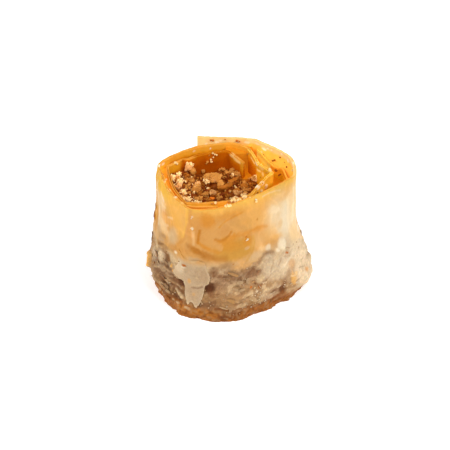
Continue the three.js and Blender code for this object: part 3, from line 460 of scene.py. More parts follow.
class BaklavaStage(bpy.types.PropertyGroup):
    """Floor, light and camera"""

    floor: tint("Floor", "Colour of the floor", 254, 254, 254)
    glow: bpy.props.FloatProperty(name="Floor light", description="Strength of the floor's own light", min=0, default=0.25)
    world: bpy.props.FloatProperty(name="Sky", description="Strength of the even light", min=0, default=0.42)
    key: bpy.props.FloatProperty(name="Key", description="Power of the large light on the right", subtype="POWER", unit="POWER", min=0, default=18.0)
    fill: bpy.props.FloatProperty(name="Fill", description="Power of the light on the left", subtype="POWER", unit="POWER", min=0, default=14.5)
    sides: bpy.props.FloatProperty(name="Sides", description="Power of the lights on both sides", subtype="POWER", unit="POWER", min=0, default=4.0)
    distance: length("Distance", "From the camera to the middle of the piece", 0.62)
    lens: bpy.props.FloatProperty(name="Lens", description="Focal length of the camera", subtype="DISTANCE_CAMERA", min=1, default=164.2)


def lit(colour, angle, height):
    """The paint that looks like a colour in the light that falls on the wall."""
    directions, strengths, glosses = zip(*WALL_LIGHT)
    wrapped = np.degrees(np.arctan2(np.sin(angle), np.cos(angle)))
    gloss = np.interp(wrapped, directions, glosses) * smooth(height, 13, 22)
    strength = np.interp(wrapped, directions, strengths) * (0.93 + 0.07 * smooth(height, 8, 20))
    return np.clip((colour - gloss[..., None]) / strength[..., None], 0, 1)


def tone(name):
    group = bpy.context.scene.baklava_tints
    nuts = bpy.context.scene.baklava_nuts
    return np.array(getattr(group, name, None) or getattr(nuts, name))


def blend(colour, other, share):
    share = np.asarray(share)[..., None]
    return colour * (1 - share) + np.asarray(other) * share


def banded(value, bands):
    """Colours that run through a list of (value, colour name)."""
    at = [b[0] for b in bands]
    colours = np.array([tone(b[1]) for b in bands])
    return np.stack([np.interp(value, at, colours[:, k]) for k in range(3)], axis=-1)


def off_direction(angle, direction):
    """Millimetres along the wall from a direction."""
    return ((np.degrees(angle) - direction + 180) % 360 - 180) * MM_PER_DEGREE


def patch_share(patch, angle, height, frayed):
    direction, middle, wide, tall, turn = patch[:5]
    along, up = off_direction(angle, direction), height - middle
    c, s = math.cos(math.radians(turn)), math.sin(math.radians(turn))
    reach = np.hypot((along * c + up * s) / wide, (up * c - along * s) / tall)
    soft = patch[7]
    return patch[6] * (1 - smooth(reach + frayed / max(min(wide, tall), 0.8), 1 - soft, 1 + soft))


def streak_share(streak, angle, height, frayed):
    places, wide, _, strength, soft, _ = streak
    first = places[0][0]
    along = off_direction(angle, first)
    corners = [((a - first) * MM_PER_DEGREE, z) for a, z in places]
    nearest = np.full(np.shape(along), 1e9)
    for (x0, z0), (x1, z1) in zip(corners, corners[1:]):
        dx, dz = x1 - x0, z1 - z0
        t = np.clip(((along - x0) * dx + (height - z0) * dz) / (dx * dx + dz * dz), 0, 1)
        nearest = np.minimum(nearest, np.hypot(along - x0 - t * dx, height - z0 - t * dz))
    return strength * (1 - smooth(nearest + min(0.7, 0.8 * wide) * frayed, wide * (1 - soft), wide * (1 + soft)))


def back_marks():
    """Marks on the sides that the front doesn't show, in the manner of those on the front."""
    draw = np.random.default_rng(41)
    marks = []
    for _ in range(70):
        colour = draw.choice(["beige", "tan", "mauve", "brown", "straw", "umber", "leaf"])
        rise = {"umber": -0.35, "brown": -0.1, "straw": 0.2}.get(colour, 0.0)
        marks.append((draw.uniform(14, 184), draw.uniform(4, 17), draw.uniform(1, 4.5), draw.uniform(0.6, 2.2),
                      draw.uniform(-15, 15), colour, draw.uniform(0.5, 0.85), 0.4, rise))
    for _ in range(34):
        colour = draw.choice(["honey", "gold", "straw", "cream", "amber", "olive"])
        marks.append((draw.uniform(10, 184), draw.uniform(19, 37), draw.uniform(2, 7), draw.uniform(1, 3.5),
                      draw.uniform(-25, 25), colour, draw.uniform(0.35, 0.7), 0.6, 0.0))
    return marks


def wall_marks(angle, height, points, colour, rise):
    """Paints the marks over a colour and adds up how far they lift the surface."""
    frayed = 0.45 * clouds(points, 1.5, 7) + 0.25 * noise(points, 0.55, 8)
    for patch in FIELDS + back_marks() + MARKS:
        near = np.abs(off_direction(angle, patch[0])) < 2.2 * max(patch[2], patch[3]) + 1
        share = np.where(near, patch_share(patch, angle, height, frayed), 0)
        colour = blend(colour, tone(patch[5]), share)
        rise = rise + patch[8] * share
    for streak in STREAKS:
        share = streak_share(streak, angle, height, frayed)
        colour = blend(colour, tone(streak[2]), share)
        rise = rise + streak[5] * share
    return colour, rise


def torn_layers(points, size, seed, steps):
    """Layers torn off a stack: their level, and the upper lips of their edges."""
    field = clouds(points, size, seed, 4) * steps
    base = np.floor(field)
    part = field - base
    return (base + smooth(part, 0.35, 0.6)) / steps, np.exp(-(((part - 0.66) / 0.1) ** 2))


# Hollows in the foot's edge: direction, half width, how high they reach, depth
FOOT_HOLLOWS = [(-173, 8, 8, 1.1), (-157, 7, 9, 1.0), (-22, 3.5, 6, 0.9), (-8, 4, 4, 0.6)]
WALL_BANDS = [
    (2.8, "base"), (4.6, "tan"), (9, "tan"), (14, "beige"), (17.5, "straw"), (20.5, "honey"), (33, "honey"),
    (35.4, "gold"), (37.8, "rim"),
]


def wall_look(angle, height, points):
    """Look of the outer wall: its colour on the screen, with painted highlights on the torn layers' lips and painted
    shade low on the left and the right, its roughness and its extra relief.
    """
    turn = np.degrees(angle)
    sunk = 1.5 * np.exp(-(((turn + 135) / 26) ** 2)) - 1.5 * np.exp(-(((turn + 12) / 30) ** 2))
    lifted = height + 1.2 * clouds(points, 4.5, 11) - sunk * (1 - smooth(height, 7, 13))
    colour = banded(lifted, WALL_BANDS)
    crust = smooth(lifted, 3.2, 4.6) * (1 - smooth(lifted, 15.5, 20))
    torn, lip = torn_layers(points * np.array([0.8, 0.8, 1.3]), 3.6, 101, 5)
    colour = blend(colour, tone("brown"), 0.75 * crust * smooth(-torn, 0.05, 0.45))
    colour = blend(colour, tone("straw"), 0.6 * crust * smooth(torn, 0.1, 0.5))
    leaves, seam = torn_layers(points @ np.array([[1, 0, 0], [0, 1, 0], [0.45, 0, 0.5]]), 8.0, 131, 3)
    above = smooth(lifted, 17, 21)
    colour, rise = wall_marks(angle, height, points, colour, np.zeros(np.shape(height)))
    fine = clouds(points, 0.9, 23)
    even = np.exp(-(((turn + 28) / 34) ** 2))
    rise = rise + crust * ((0.7 - 0.45 * even) * torn + 0.16 * fine + 0.08 + 0.2 * even) + above * 0.12 * leaves
    foot = 1 - smooth(lifted, 3.2, 4.6)
    grit = noise(points, 0.45, 27)
    crumbly = noise(points, 0.8, 29)
    colour = blend(colour, tone("tan"), 0.6 * foot * smooth(crumbly, 0.25, 0.6))
    colour = blend(colour, tone("char"), 0.6 * foot * smooth(-crumbly, 0.2, 0.6))
    rise = rise + (0.06 * crust + 0.1 * foot) * grit + foot * (0.25 * crumbly + 0.3 * clouds(points, 1.9, 33))
    rise = rise + 0.6 * (1 - smooth(height, 0, EDGE_HEIGHT)) - sum(
        deep * np.exp(-((off_direction(angle, direction) / wide) ** 2)) * (1 - smooth(height, 0, up))
        for direction, wide, up, deep in FOOT_HOLLOWS)
    # Painted highlights: the lips and seams of the torn layers are painted lighter; the other terms are the crust's
    # mottle and the leaves' own tone.
    light = 0.04 * noise(points, 0.6, 3) + crust * (1 - 0.4 * even) * (0.2 * fine + 0.16 * grit + 0.2 * lip) + above * (0.16 * leaves + 0.06 * seam)
    # Painted shade: this term darkens the wall low on the left and low on the right, under the overhang.
    dull = 0.24 * np.exp(-(((turn + 152) / 26) ** 2)) + 0.17 * np.exp(-((off_direction(angle, 2) / 5) ** 2))
    light = light - dull * (1 - smooth(height, 13, 19)) * smooth(height, 2, 5)
    colour = colour * (1 + light + foot * (0.25 * fine + 0.2 * grit))[..., None]
    return colour, 0.4 + 0.25 * np.maximum(crust, foot), rise


# Spots on the insides of the outer turn and of the inner turn, by millimetres along and down: many pale ones are
# painted highlights on rims and folds, others pale flakes, and the darkest ones are painted shade
OUTER_SPOTS = [
    (20.8, 3.3, 0.6, 0.5, "pearl", 0.7), (21.6, 4.0, 0.6, 0.6, "tan", 0.4), (28.4, 2.0, 0.5, 0.4, "tan", 0.4),
    (21.6, 1.6, 1.1, 0.45, "pearl", 0.9), (23.5, 0.9, 0.5, 0.3, "pearl", 0.9), (25.4, 0.8, 0.4, 0.3, "pearl", 0.8),
    (29.1, 0.5, 0.6, 0.3, "pearl", 0.9), (32.4, 1.6, 0.4, 0.5, "pearl", 0.6), (19.0, 0.9, 1.2, 0.35, "pearl", 0.5),
    (39.4, 0.7, 0.8, 0.7, "pearl", 0.9), (37.5, 2.0, 0.6, 0.5, "dry_and_highlight", 0.6), (2.8, 2.1, 0.4, 0.4, "pearl", 0.5),
    (6.1, 1.6, 0.4, 0.5, "pearl", 0.5), (7.0, 1.0, 0.5, 0.3, "pearl", 0.5), (13.2, 2.0, 0.5, 0.4, "amber", 0.6),
    (12.6, 1.1, 0.9, 0.5, "beige", 0.6), (14.6, 1.3, 1.5, 1.2, "edge", 0.4), (15.2, 1.1, 0.8, 0.5, "pearl", 0.5),
    (108.2, 0.15, 1.2, 0.35, "pearl", 0.9), (110.6, 0.6, 0.6, 0.4, "pearl", 0.6), (123.9, 0.8, 0.4, 0.3, "pearl", 0.5),
    (129.0, 1.0, 0.3, 0.3, "pearl", 0.7), (84.0, 0.2, 1.4, 0.25, "dry_and_highlight", 0.8), (88.5, 0.15, 1.0, 0.3, "pearl", 0.6),
    (93.0, 0.2, 1.5, 0.25, "dry_and_highlight", 0.8), (98.0, 0.2, 1.2, 0.25, "pearl", 0.6), (102.5, 0.3, 1.6, 0.3, "dry_and_highlight", 0.8),
    (36.4, 0.2, 1.2, 0.4, "pearl", 0.6), (41.6, 0.3, 1.0, 0.4, "dry_and_highlight", 0.7), (34.0, 0.8, 0.8, 0.5, "dry_and_highlight", 0.6),
]
INNER_SPOTS = [
    (5.0, 1.5, 2.4, 0.2, "dry_and_highlight", 0.8), (7.9, 0.5, 1.0, 0.4, "pearl", 1.0), (9.4, 2.0, 1.0, 0.25, "dry_and_highlight", 0.9),
    (11.2, 2.4, 0.8, 0.8, "dry_and_highlight", 0.6), (10.6, 0.6, 1.6, 0.4, "dry_and_highlight", 0.5), (10.4, 3.8, 0.5, 0.4, "toast", 0.7),
    (25.2, 0.3, 1.3, 0.4, "pearl", 1.0), (22.0, 0.3, 1.3, 0.35, "pearl", 0.8), (86.5, 3.4, 1.8, 2.0, "dusk", 0.9),
    (94.3, 2.8, 1.5, 2.0, "dusk", 0.7), (98.6, 0.6, 1.6, 0.6, "dry_and_highlight", 0.8), (96.4, 0.3, 1.2, 0.35, "dry_and_highlight", 0.7),
]
# Colours of the faces inside the roll, by depth below the rim: painted shade, darker the deeper a face lies, with
# painted light at the top of lit faces and on leaves lit from behind
TAB_FACE = [(0.0, "tab"), (2.6, "tab"), (3.2, "edge"), (6.0, "glow"), (10.0, "deep")]
LIT_FACE = [(0.0, "dry_and_highlight"), (1.0, "dry_and_highlight"), (1.7, "sun"), (5.0, "sun"), (7.5, "nectar"), (10.0, "deep")]
GAP_FACE = [(0.0, "edge"), (0.4, "syrup"), (1.2, "comb"), (4.5, "comb"), (7.0, "deep")]
OUTER_FACE = [(0.0, "edge"), (0.4, "syrup"), (1.3, "syrup"), (1.7, "glow"), (2.5, "deep"), (5.0, "dark")]
FLAP_FACE = [(0.0, "sun"), (0.3, "syrup"), (1.4, "glow"), (2.2, "deep"), (4.0, "dark"), (8.0, "dusk")]
LOBE_FACE = [(0.0, "sun"), (0.3, "comb"), (1.0, "glow"), (4.4, "glow"), (7.0, "deep")]
BAND_FACE = [(0.0, "sun"), (0.4, "comb"), (2.6, "comb"), (3.6, "pool"), (6.0, "pool")]
LEFT_FACE = [(0.0, "edge"), (0.4, "glow"), (2.1, "glow"), (3.2, "deep"), (5.5, "dark")]
NOTCH_FACE = [(0.0, "edge"), (0.4, "deep"), (1.4, "dark"), (4.5, "dark")]
INNER_FACE = [(0.0, "deep"), (0.4, "dark"), (2.0, "dark"), (3.5, "dusk"), (7.0, "dusk")]
CURL_FACE = [(0.0, "edge"), (0.5, "glow"), (1.5, "deep"), (2.6, "dark"), (5.0, "dusk")]
LIP_FACE = [(0.0, "edge"), (0.6, "syrup"), (2.2, "glow"), (3.5, "deep"), (6.0, "dark")]
LEAF_FACE = [(0.0, "sun"), (0.4, "resin"), (1.8, "resin"), (3.0, "glow"), (4.5, "pool")]
POCKET_FACE = [(0.0, "sun"), (0.35, "nectar"), (0.8, "glow"), (1.9, "glow"), (2.7, "pool"), (6.0, "pool")]
FOLD_FACE = [(0.0, "edge"), (0.35, "amber"), (1.0, "deep"), (2.4, "dark")]
SHADY_FACE = [(0.0, "dry_and_highlight"), (0.9, "dry_and_highlight"), (1.5, "sun"), (2.4, "sun"), (4.2, "nectar"), (7.0, "glow")]
# Faces along a sheet: where each starts, as a share of the way, its colours, and its painted glow, which stands in for
# light coming through the leaves.
OUTER_TURN_FACES = [(0, TAB_FACE, 0), (0.105, SHADY_FACE, 0.1), (0.14, LIT_FACE, 0.2), (0.31, OUTER_FACE, 0), (0.57, GAP_FACE, 0.3), (0.8, OUTER_FACE, 0)]
INNER_TURN_FACES = [
    (0, FLAP_FACE, 0.45), (0.084, LOBE_FACE, 0.32), (0.2, INNER_FACE, 0), (0.71, LEFT_FACE, 0), (0.778, INNER_FACE, 0),
    (0.797, NOTCH_FACE, 0), (0.83, INNER_FACE, 0), (0.952, CURL_FACE, 0.1), (0.992, LIP_FACE, 0.1),
]
INNER_TURN_BACKS = [(0, BAND_FACE, 0.25), (0.31, OUTER_FACE, 0.0), (0.5, GAP_FACE, 0.3), (0.8, INNER_FACE, 0)]
RIGHT_LEAF_FACES = [(0, LEAF_FACE, 0.45), (0.27, POCKET_FACE, 0.45)]
FRONT_LEAF_FACES = [(0, FOLD_FACE, 0)]


def inside_look(faces, depth, share, points, marks, length):
    """Look of a face inside the roll, by its depth and its share of the way along the sheet: darker the deeper it lies,
    as painted shade.

    `faces` lists shares of the way, the colours that hold from there and their painted glow, which stands in for light
    shining through, and `marks` spots by millimetres along and down: both middles, both half sizes, colour and
    strength.
    """
    lower = np.maximum(0, depth + 0.45 * clouds(points, 2.2, 17) * smooth(depth, 0.3, 2))
    share = share + 0.004 * noise(points, 1.5, 21)
    colour, through = banded(lower, faces[0][1]), faces[0][2]
    for start, bands, glow in faces[1:]:
        over = smooth(share, start - 0.008, start + 0.008)
        colour, through = blend(colour, banded(lower, bands), over), through * (1 - over) + glow * over
    frayed = 0.35 * clouds(points, 1.1, 19)
    for along, down, wide, tall, name, strength in marks:
        reach = np.hypot((share * length - along) / wide, (depth - down) / tall) + frayed
        colour = blend(colour, tone(name), strength * (1 - smooth(reach, 0.6, 1.2)))
    drawn = noise(points * np.array([1.0, 1.0, 0.4]), 1.3, 37)
    return np.clip(colour * (1 + 0.07 * drawn)[..., None], 0, 1), 0.3 + 0 * depth, through * smooth(depth, 0.1, 2.5)


# Modelling


def alone():
    """Deselects everything, so that an operator acts only on what is added next."""
    if bpy.context.object and bpy.context.object.mode != "OBJECT":
        bpy.ops.object.mode_set(mode="OBJECT")
    bpy.ops.object.select_all(action="DESELECT")


def coordinates(mesh):
    flat = np.empty(3 * len(mesh.vertices))
    mesh.vertices.foreach_get("co", flat)
    return flat.reshape(-1, 3)


def placed(piece, points):
    """Puts the vertices at points, given in millimetres from the roll's axis."""
    piece.data.vertices.foreach_set("co", ((points + AXIS) / 1000).ravel())
    piece.data.update()


def painted(piece, colour, rough, through=0.0):
    """Stores each vertex's colour, roughness and painted glow: how strongly it shines by itself there, in place of
    light that comes through the leaves.
    """
    mesh = piece.data
    layer = mesh.color_attributes.new(name="paint", type="FLOAT_COLOR", domain="POINT")
    layer.data.foreach_set("color", np.hstack([colour, np.ones((len(colour), 1))]).ravel())
    for name, values in (("dull", rough), ("through", through)):
        layer = mesh.attributes.new(name=name, type="FLOAT", domain="POINT")
        layer.data.foreach_set("value", np.broadcast_to(values, len(colour)).astype(float).ravel())


def new_grid(name, columns, rows):
    """A flat grid, and the column and row of each of its vertices."""
    alone()
    bpy.ops.mesh.primitive_grid_add(x_subdivisions=columns - 1, y_subdivisions=rows - 1, size=2, location=(0, 0, 0))
    piece = bpy.context.object
    piece.name = name
    share = (coordinates(piece.data)[:, :2] + 1) / 2
    return piece, np.rint(share[:, 0] * (columns - 1)).astype(int), np.rint(share[:, 1] * (rows - 1)).astype(int)


def new_ball(name, segments, rings):
    """A ball, and the segment and ring of each of its vertices, with ring 0 at the top."""
    alone()
    bpy.ops.mesh.primitive_uv_sphere_add(segments=segments, ring_count=rings, radius=1, location=(0, 0, 0))
    piece = bpy.context.object
    piece.name = name
    place = coordinates(piece.data)
    ring = np.rint(np.arccos(np.clip(place[:, 2], -1, 1)) / math.pi * rings).astype(int)
    segment = np.rint(np.arctan2(place[:, 1], place[:, 0]) / (2 * math.pi) * segments).astype(int) % segments
    return piece, segment, ring


def edited(piece, *steps):
    """Runs edit mode operators on all of a piece."""
    alone()
    piece.select_set(True)
    bpy.context.view_layer.objects.active = piece
    bpy.ops.object.mode_set(mode="EDIT")
    bpy.ops.mesh.select_all(action="SELECT")
    for step in steps:
        step()
    bpy.ops.object.mode_set(mode="OBJECT")


def close_seams():
    """Merges the seam and fills the open ends."""
    bpy.ops.mesh.remove_doubles(threshold=1e-7)
    bpy.ops.mesh.fill_holes(sides=0)
    bpy.ops.mesh.normals_make_consistent(inside=False)


def closed_sheet(name, table, look):
    """A closed sheet from columns of points that run up one face, over the rim and down the other."""
    loop = [np.concatenate([t, t[:, :1]], axis=1)[::-1] for t in (table, *look)]
    piece, column, row = new_grid(name, *loop[0].shape[:2])
    placed(piece, loop[0][column, row])
    painted(piece, *(values[column, row] for values in loop[1:]))
    edited(piece, close_seams)
    return piece


def joined(name, pieces):
    alone()
    for piece in pieces:
        piece.select_set(True)
    bpy.context.view_layer.objects.active = pieces[0]
    if len(pieces) > 1:
        bpy.ops.object.join()
    pieces[0].name = name
    return pieces[0]


def softened(piece, degrees=50):
    alone()
    piece.select_set(True)
    bpy.context.view_layer.objects.active = piece
    bpy.ops.object.shade_smooth_by_angle(angle=math.radians(degrees))
    return piece


def finished(piece, material, node):
    """Gives a piece its finish, and its place among the solids."""
    piece.data.materials.clear()
    piece.data.materials.append(material)
    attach(piece, "root")
    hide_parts(node)
    return piece


def sheet_ply(name, path, span, bottom, face, rows, faces, rise=0.0, outside=None, outer_faces=None, marks=()):
    """One ply of a turn between two pushes, from a bottom up to the rim.

    `face(height, push)` gives its points, `faces` its colours inside the roll, and `outside` the look of
    its outer face if that is the wall.
    """
    outer, inner = span
    count, back = rows
    fray = bpy.context.scene.baklava_sizes.fray * 1000
    share = (path.along / path.along[-1])[:, None]
    ground = np.stack([path.x, path.y, np.full(len(path.x), 10.0 * outer)], axis=1)
    rim = path.rim + rise + fray * path.frayed * (clouds(ground, 1.6, 43) + 0.5 * noise(ground, 5, 47))
    sway = (0.12 * noise(ground, 2.6, 53))[:, None]
    up = bottom + (rim[:, None] - bottom) * np.linspace(0, 1, count) ** (1.0 if outside else 0.6)
    down = bottom + (rim[:, None] - bottom) * np.linspace(1, 0, back) ** 0.6
    angle = path.angle[:, None]
    near = [1 - smooth(rim[:, None] - z, 0, 4) for z in (up, down)]
    lift = 0.0
    if outside:
        colour, rough, lift = outside(angle + 0 * up, up, face(up, outer))
        front_look = colour, rough, 0 * rough
    else:
        front_look = inside_look(outer_faces or faces, rim[:, None] - up, share, face(up, outer), marks, path.along[-1])
    front = face(up, outer + lift + sway * near[0])
    rear = face(down, inner + sway * near[1] - (CRUST_DEPTH * (1 - smooth(down, 18, 27)) if outside else 0))
    rear_look = inside_look(faces, rim[:, None] - down, share, rear, marks, path.along[-1])
    look = [np.concatenate(pair, axis=1) for pair in zip(front_look, rear_look)]
    return closed_sheet(name, np.concatenate([front, rear], axis=1), look)


def outer_path():
    sizes = bpy.context.scene.baklava_sizes
    return tucked(Path(OUTER_CREASES, rounding=3), sizes.turn * 1000)


def disc(segments, rings):
    """A ball's faces, and for each vertex its spoke, its share of the way out and which face it is on."""
    piece, segment, ring = new_ball("disc", segments, 2 * rings)
    faces = [tuple(f.vertices) for f in piece.data.polygons]
    out = np.where(ring <= rings, ring, 2 * rings - ring) / rings
    bpy.data.objects.remove(piece, do_unlink=True)
    return faces, segment, out, ring <= rings


def outline(corners, count, ragged, seed):
    """A closed outline of many points through a few corners, frayed."""
    corners = np.array(corners, dtype=float)
    loop = np.vstack([corners, corners[:1]])
    steps = np.hypot(*np.diff(loop, axis=0).T)
    at = np.concatenate([[0], np.cumsum(steps)])
    want = np.arange(count) / count * at[-1]
    line = np.stack([np.interp(want, at, loop[:, k]) for k in range(2)], axis=1)
    spread = np.hstack([9 * line, np.zeros((count, 1))])
    return line * (1 + ragged * clouds(spread, 2.2, seed) + 0.6 * ragged * noise(spread, 0.6, seed + 3))[:, None]


def ragged_corners(seed, count=14, ragged=0.25):
    reach = 1 - ragged * hashed(seed * 97 + np.arange(count))
    turn = 2 * math.pi * np.arange(count) / count
    return np.stack([reach * np.cos(turn), reach * np.sin(turn)], axis=1)


def mesh_of(name, points, faces):
    """A mesh from points in millimetres from the roll's axis."""
    mesh = bpy.data.meshes.new(name)
    mesh.from_pydata(((points + AXIS) / 1000).tolist(), [], faces)
    piece = bpy.data.objects.new(name, mesh)
    bpy.context.scene.collection.objects.link(piece)
    return piece


def copies(name, faces, points, colour, rough, through=0.0):
    """One mesh of many copies of a shape: points and colours have a row for each copy."""
    count, each = points.shape[:2]
    many = [tuple(v + k * each for v in face) for k in range(count) for face in faces]
    piece = mesh_of(name, points.reshape(-1, 3), many)
    painted(piece, colour.reshape(-1, 3), rough, through)
    return piece


def turned(angles):
    """Rotation matrices from three angles each."""
    (cx, cy, cz), (sx, sy, sz) = np.cos(angles).T, np.sin(angles).T
    zero, one = 0 * cx, 1 + 0 * cx
    about_x = np.stack([one, zero, zero, zero, cx, -sx, zero, sx, cx], -1).reshape(-1, 3, 3)
    about_y = np.stack([cy, zero, sy, zero, one, zero, -sy, zero, cy], -1).reshape(-1, 3, 3)
    about_z = np.stack([cz, -sz, zero, sz, cz, zero, zero, zero, one], -1).reshape(-1, 3, 3)
    return about_z @ about_y @ about_x


def crumb_shape(seed, cuts=5):
    """A crumb: a ball with flat cuts and shaken corners. Gives its points and faces."""
    draw = np.random.default_rng(seed)
    alone()
    bpy.ops.mesh.primitive_ico_sphere_add(subdivisions=2, radius=1, location=(0, 0, 0))
    piece = bpy.context.object

    def cut():
        for _ in range(cuts):
            way = draw.normal(size=3)
            way /= np.linalg.norm(way)
            bpy.ops.mesh.select_all(action="SELECT")
            bpy.ops.mesh.bisect(plane_co=way * draw.uniform(0.55, 0.85), plane_no=way, use_fill=True, clear_outer=True)
        bpy.ops.mesh.select_all(action="SELECT")
        bpy.ops.mesh.remove_doubles(threshold=0.12)
        bpy.ops.mesh.quads_convert_to_tris()

    edited(piece, cut)
    points = coordinates(piece.data)
    points = points * (1 + 0.16 * noise(points * 1.0, 0.7, seed))[:, None]
    faces = [tuple(f.vertices) for f in piece.data.polygons]
    bpy.data.objects.remove(piece, do_unlink=True)
    return points, faces


def strewn(name, spots, sizes, colours, seed, shapes=6, roughness=0.6, painted_shade_below=0.0, through=0.0):
    """Crumbs at spots, each with three radii and a colour, as one piece; their lower sides can be darkened as painted
    shade, and all of them can glow as painted light.
    """
    draw = np.random.default_rng(seed)
    turns = turned(draw.uniform(0, 2 * math.pi, (len(spots), 3)))
    kinds = draw.integers(0, shapes, len(spots))
    parts = []
    for kind in range(shapes):
        chosen = kinds == kind
        if not chosen.any():
            continue
        shape, faces = crumb_shape(900 + kind)
        points = np.einsum("nij,nvj->nvi", turns[chosen], shape[None] * sizes[chosen][:, None]) + spots[chosen][:, None]
        low = (points[..., 2] - spots[chosen][:, None, 2]) / sizes[chosen].mean(axis=1)[:, None]
        colour = blend(colours[chosen][:, None] + 0 * points, tone("shade"), painted_shade_below * smooth(-low, -0.3, 1.0))
        colour = np.clip(colour * (1 + 0.14 * noise(points, 0.45, seed))[..., None], 0, 1)
        parts.append(copies(f"{name}_{kind}", faces, points, colour, roughness, through))
    return joined(name, parts)


# Finishes


def group_socket(group, name, way, kind, default=None):
    socket = group.interface.new_socket(name=name, in_out=way, socket_type=kind)
    if default is not None:
        socket.default_value = default
    return socket


def grain_group():
    """Fine grain on a painted surface: speckled colour, and a height for the bump."""
    group = bpy.data.node_groups.get("Baked grain")
    if group:
        return group
    group = bpy.data.node_groups.new("Baked grain", "ShaderNodeTree")
    group_socket(group, "Colour", "INPUT", "NodeSocketColor")
    group_socket(group, "Roughness", "INPUT", "NodeSocketFloat", 0.5)
    group_socket(group, "Scale", "INPUT", "NodeSocketFloat", 1200.0)
    group_socket(group, "Mottle", "INPUT", "NodeSocketFloat", 0.2)
    group_socket(group, "Colour", "OUTPUT", "NodeSocketColor")
    group_socket(group, "Roughness", "OUTPUT", "NodeSocketFloat")
    group_socket(group, "Height", "OUTPUT", "NodeSocketFloat")
    nodes, link = group.nodes, group.links.new
    given, made = nodes.new("NodeGroupInput"), nodes.new("NodeGroupOutput")
    place = nodes.new("ShaderNodeTexCoord")
    fine, coarse = nodes.new("ShaderNodeTexNoise"), nodes.new("ShaderNodeTexNoise")
    fine.inputs["Detail"].default_value = 4.0
    coarse.inputs["Detail"].default_value = 3.0
    quarter = nodes.new("ShaderNodeMath")
    quarter.operation = "MULTIPLY"
    quarter.inputs[1].default_value = 0.25
    link(given.outputs["Scale"], quarter.inputs[0])
    link(given.outputs["Scale"], fine.inputs["Scale"])
    link(quarter.outputs[0], coarse.inputs["Scale"])
    for texture in (fine, coarse):
        link(place.outputs["Object"], texture.inputs["Vector"])
    centred = nodes.new("ShaderNodeMath")
    centred.operation = "SUBTRACT"
    centred.inputs[1].default_value = 0.5
    link(fine.outputs["Fac"], centred.inputs[0])
    swing = nodes.new("ShaderNodeMath")
    swing.operation = "MULTIPLY_ADD"
    swing.inputs[2].default_value = 1.0
    link(centred.outputs[0], swing.inputs[0])
    link(given.outputs["Mottle"], swing.inputs[1])
    shaded = nodes.new("ShaderNodeVectorMath")
    shaded.operation = "SCALE"
    link(given.outputs["Colour"], shaded.inputs[0])
    link(swing.outputs[0], shaded.inputs["Scale"])
    link(shaded.outputs[0], made.inputs["Colour"])
    uneven = nodes.new("ShaderNodeMath")
    uneven.operation = "MULTIPLY_ADD"
    uneven.inputs[1].default_value = 0.35
    link(centred.outputs[0], uneven.inputs[0])
    link(given.outputs["Roughness"], uneven.inputs[2])
    link(uneven.outputs[0], made.inputs["Roughness"])
    height, rougher = nodes.new("ShaderNodeMath"), nodes.new("ShaderNodeMath")
    height.operation, rougher.operation = "ADD", "MULTIPLY"
    link(fine.outputs["Fac"], height.inputs[0])
    link(coarse.outputs["Fac"], height.inputs[1])
    link(height.outputs[0], rougher.inputs[0])
    link(given.outputs["Mottle"], rougher.inputs[1])
    link(rougher.outputs[0], made.inputs["Height"])
    return group


def baked_material(name, scale, mottle, bump, glow, coat, radius):
    """A finish that takes its colour and roughness from the piece's own paint, with more grain where it's dull, and
    shines by itself as painted glow where the paint says so.
    """
    material = bpy.data.materials.get(name)
    if material:
        return material
    material = bpy.data.materials.new(name)
    material.use_nodes = True
    nodes, link = material.node_tree.nodes, material.node_tree.links.new
    shader = nodes["Principled BSDF"]
    paint, dull = nodes.new("ShaderNodeAttribute"), nodes.new("ShaderNodeAttribute")
    paint.attribute_name, dull.attribute_name = "paint", "dull"
    grain = nodes.new("ShaderNodeGroup")
    grain.node_tree = grain_group()
    grain.inputs["Scale"].default_value = scale
    grainy = nodes.new("ShaderNodeMapRange")
    for socket, value in (("From Min", 0.4), ("From Max", 0.65), ("To Min", mottle), ("To Max", 4 * mottle)):
        grainy.inputs[socket].default_value = value
    link(dull.outputs["Fac"], grainy.inputs["Value"])
    link(grainy.outputs["Result"], grain.inputs["Mottle"])
    link(paint.outputs["Color"], grain.inputs["Colour"])
    link(dull.outputs["Fac"], grain.inputs["Roughness"])
    raised = nodes.new("ShaderNodeBump")
    raised.inputs["Strength"].default_value = 1.0
    raised.inputs["Distance"].default_value = bump
    link(grain.outputs["Height"], raised.inputs["Height"])
    link(grain.outputs["Colour"], shader.inputs["Base Color"])
    # Painted glow: the grained paint shines by itself, scaled by the piece's through values.
    through, shining = nodes.new("ShaderNodeAttribute"), nodes.new("ShaderNodeVectorMath")
    through.attribute_name, shining.operation = "through", "SCALE"
    link(grain.outputs["Colour"], shining.inputs[0])
    link(through.outputs["Fac"], shining.inputs["Scale"])
    link(shining.outputs[0], shader.inputs["Emission Color"])
    shader.inputs["Emission Strength"].default_value = 1.0
    link(grain.outputs["Roughness"], shader.inputs["Roughness"])
    link(raised.outputs["Normal"], shader.inputs["Normal"])
    shader.inputs["Subsurface Weight"].default_value = glow
    shader.inputs["Subsurface Radius"].default_value = (1.0, 0.45, 0.15)
    shader.inputs["Subsurface Scale"].default_value = radius
    shader.inputs["Coat Weight"].default_value = coat
    shader.inputs["Coat Roughness"].default_value = 0.22
    shader.inputs["IOR"].default_value = 1.45
    shader.inputs["Specular IOR Level"].default_value = 0.07
    return material


def phyllo():
    return baked_material("Glazed phyllo", 2200.0, 0.12, 0.00016, 0.1, 0.03, 0.0006)


def pecan():
    return baked_material("Chopped pecan", 1700.0, 0.1, 0.00006, 0.12, 0.03, 0.0005)


# The pieces


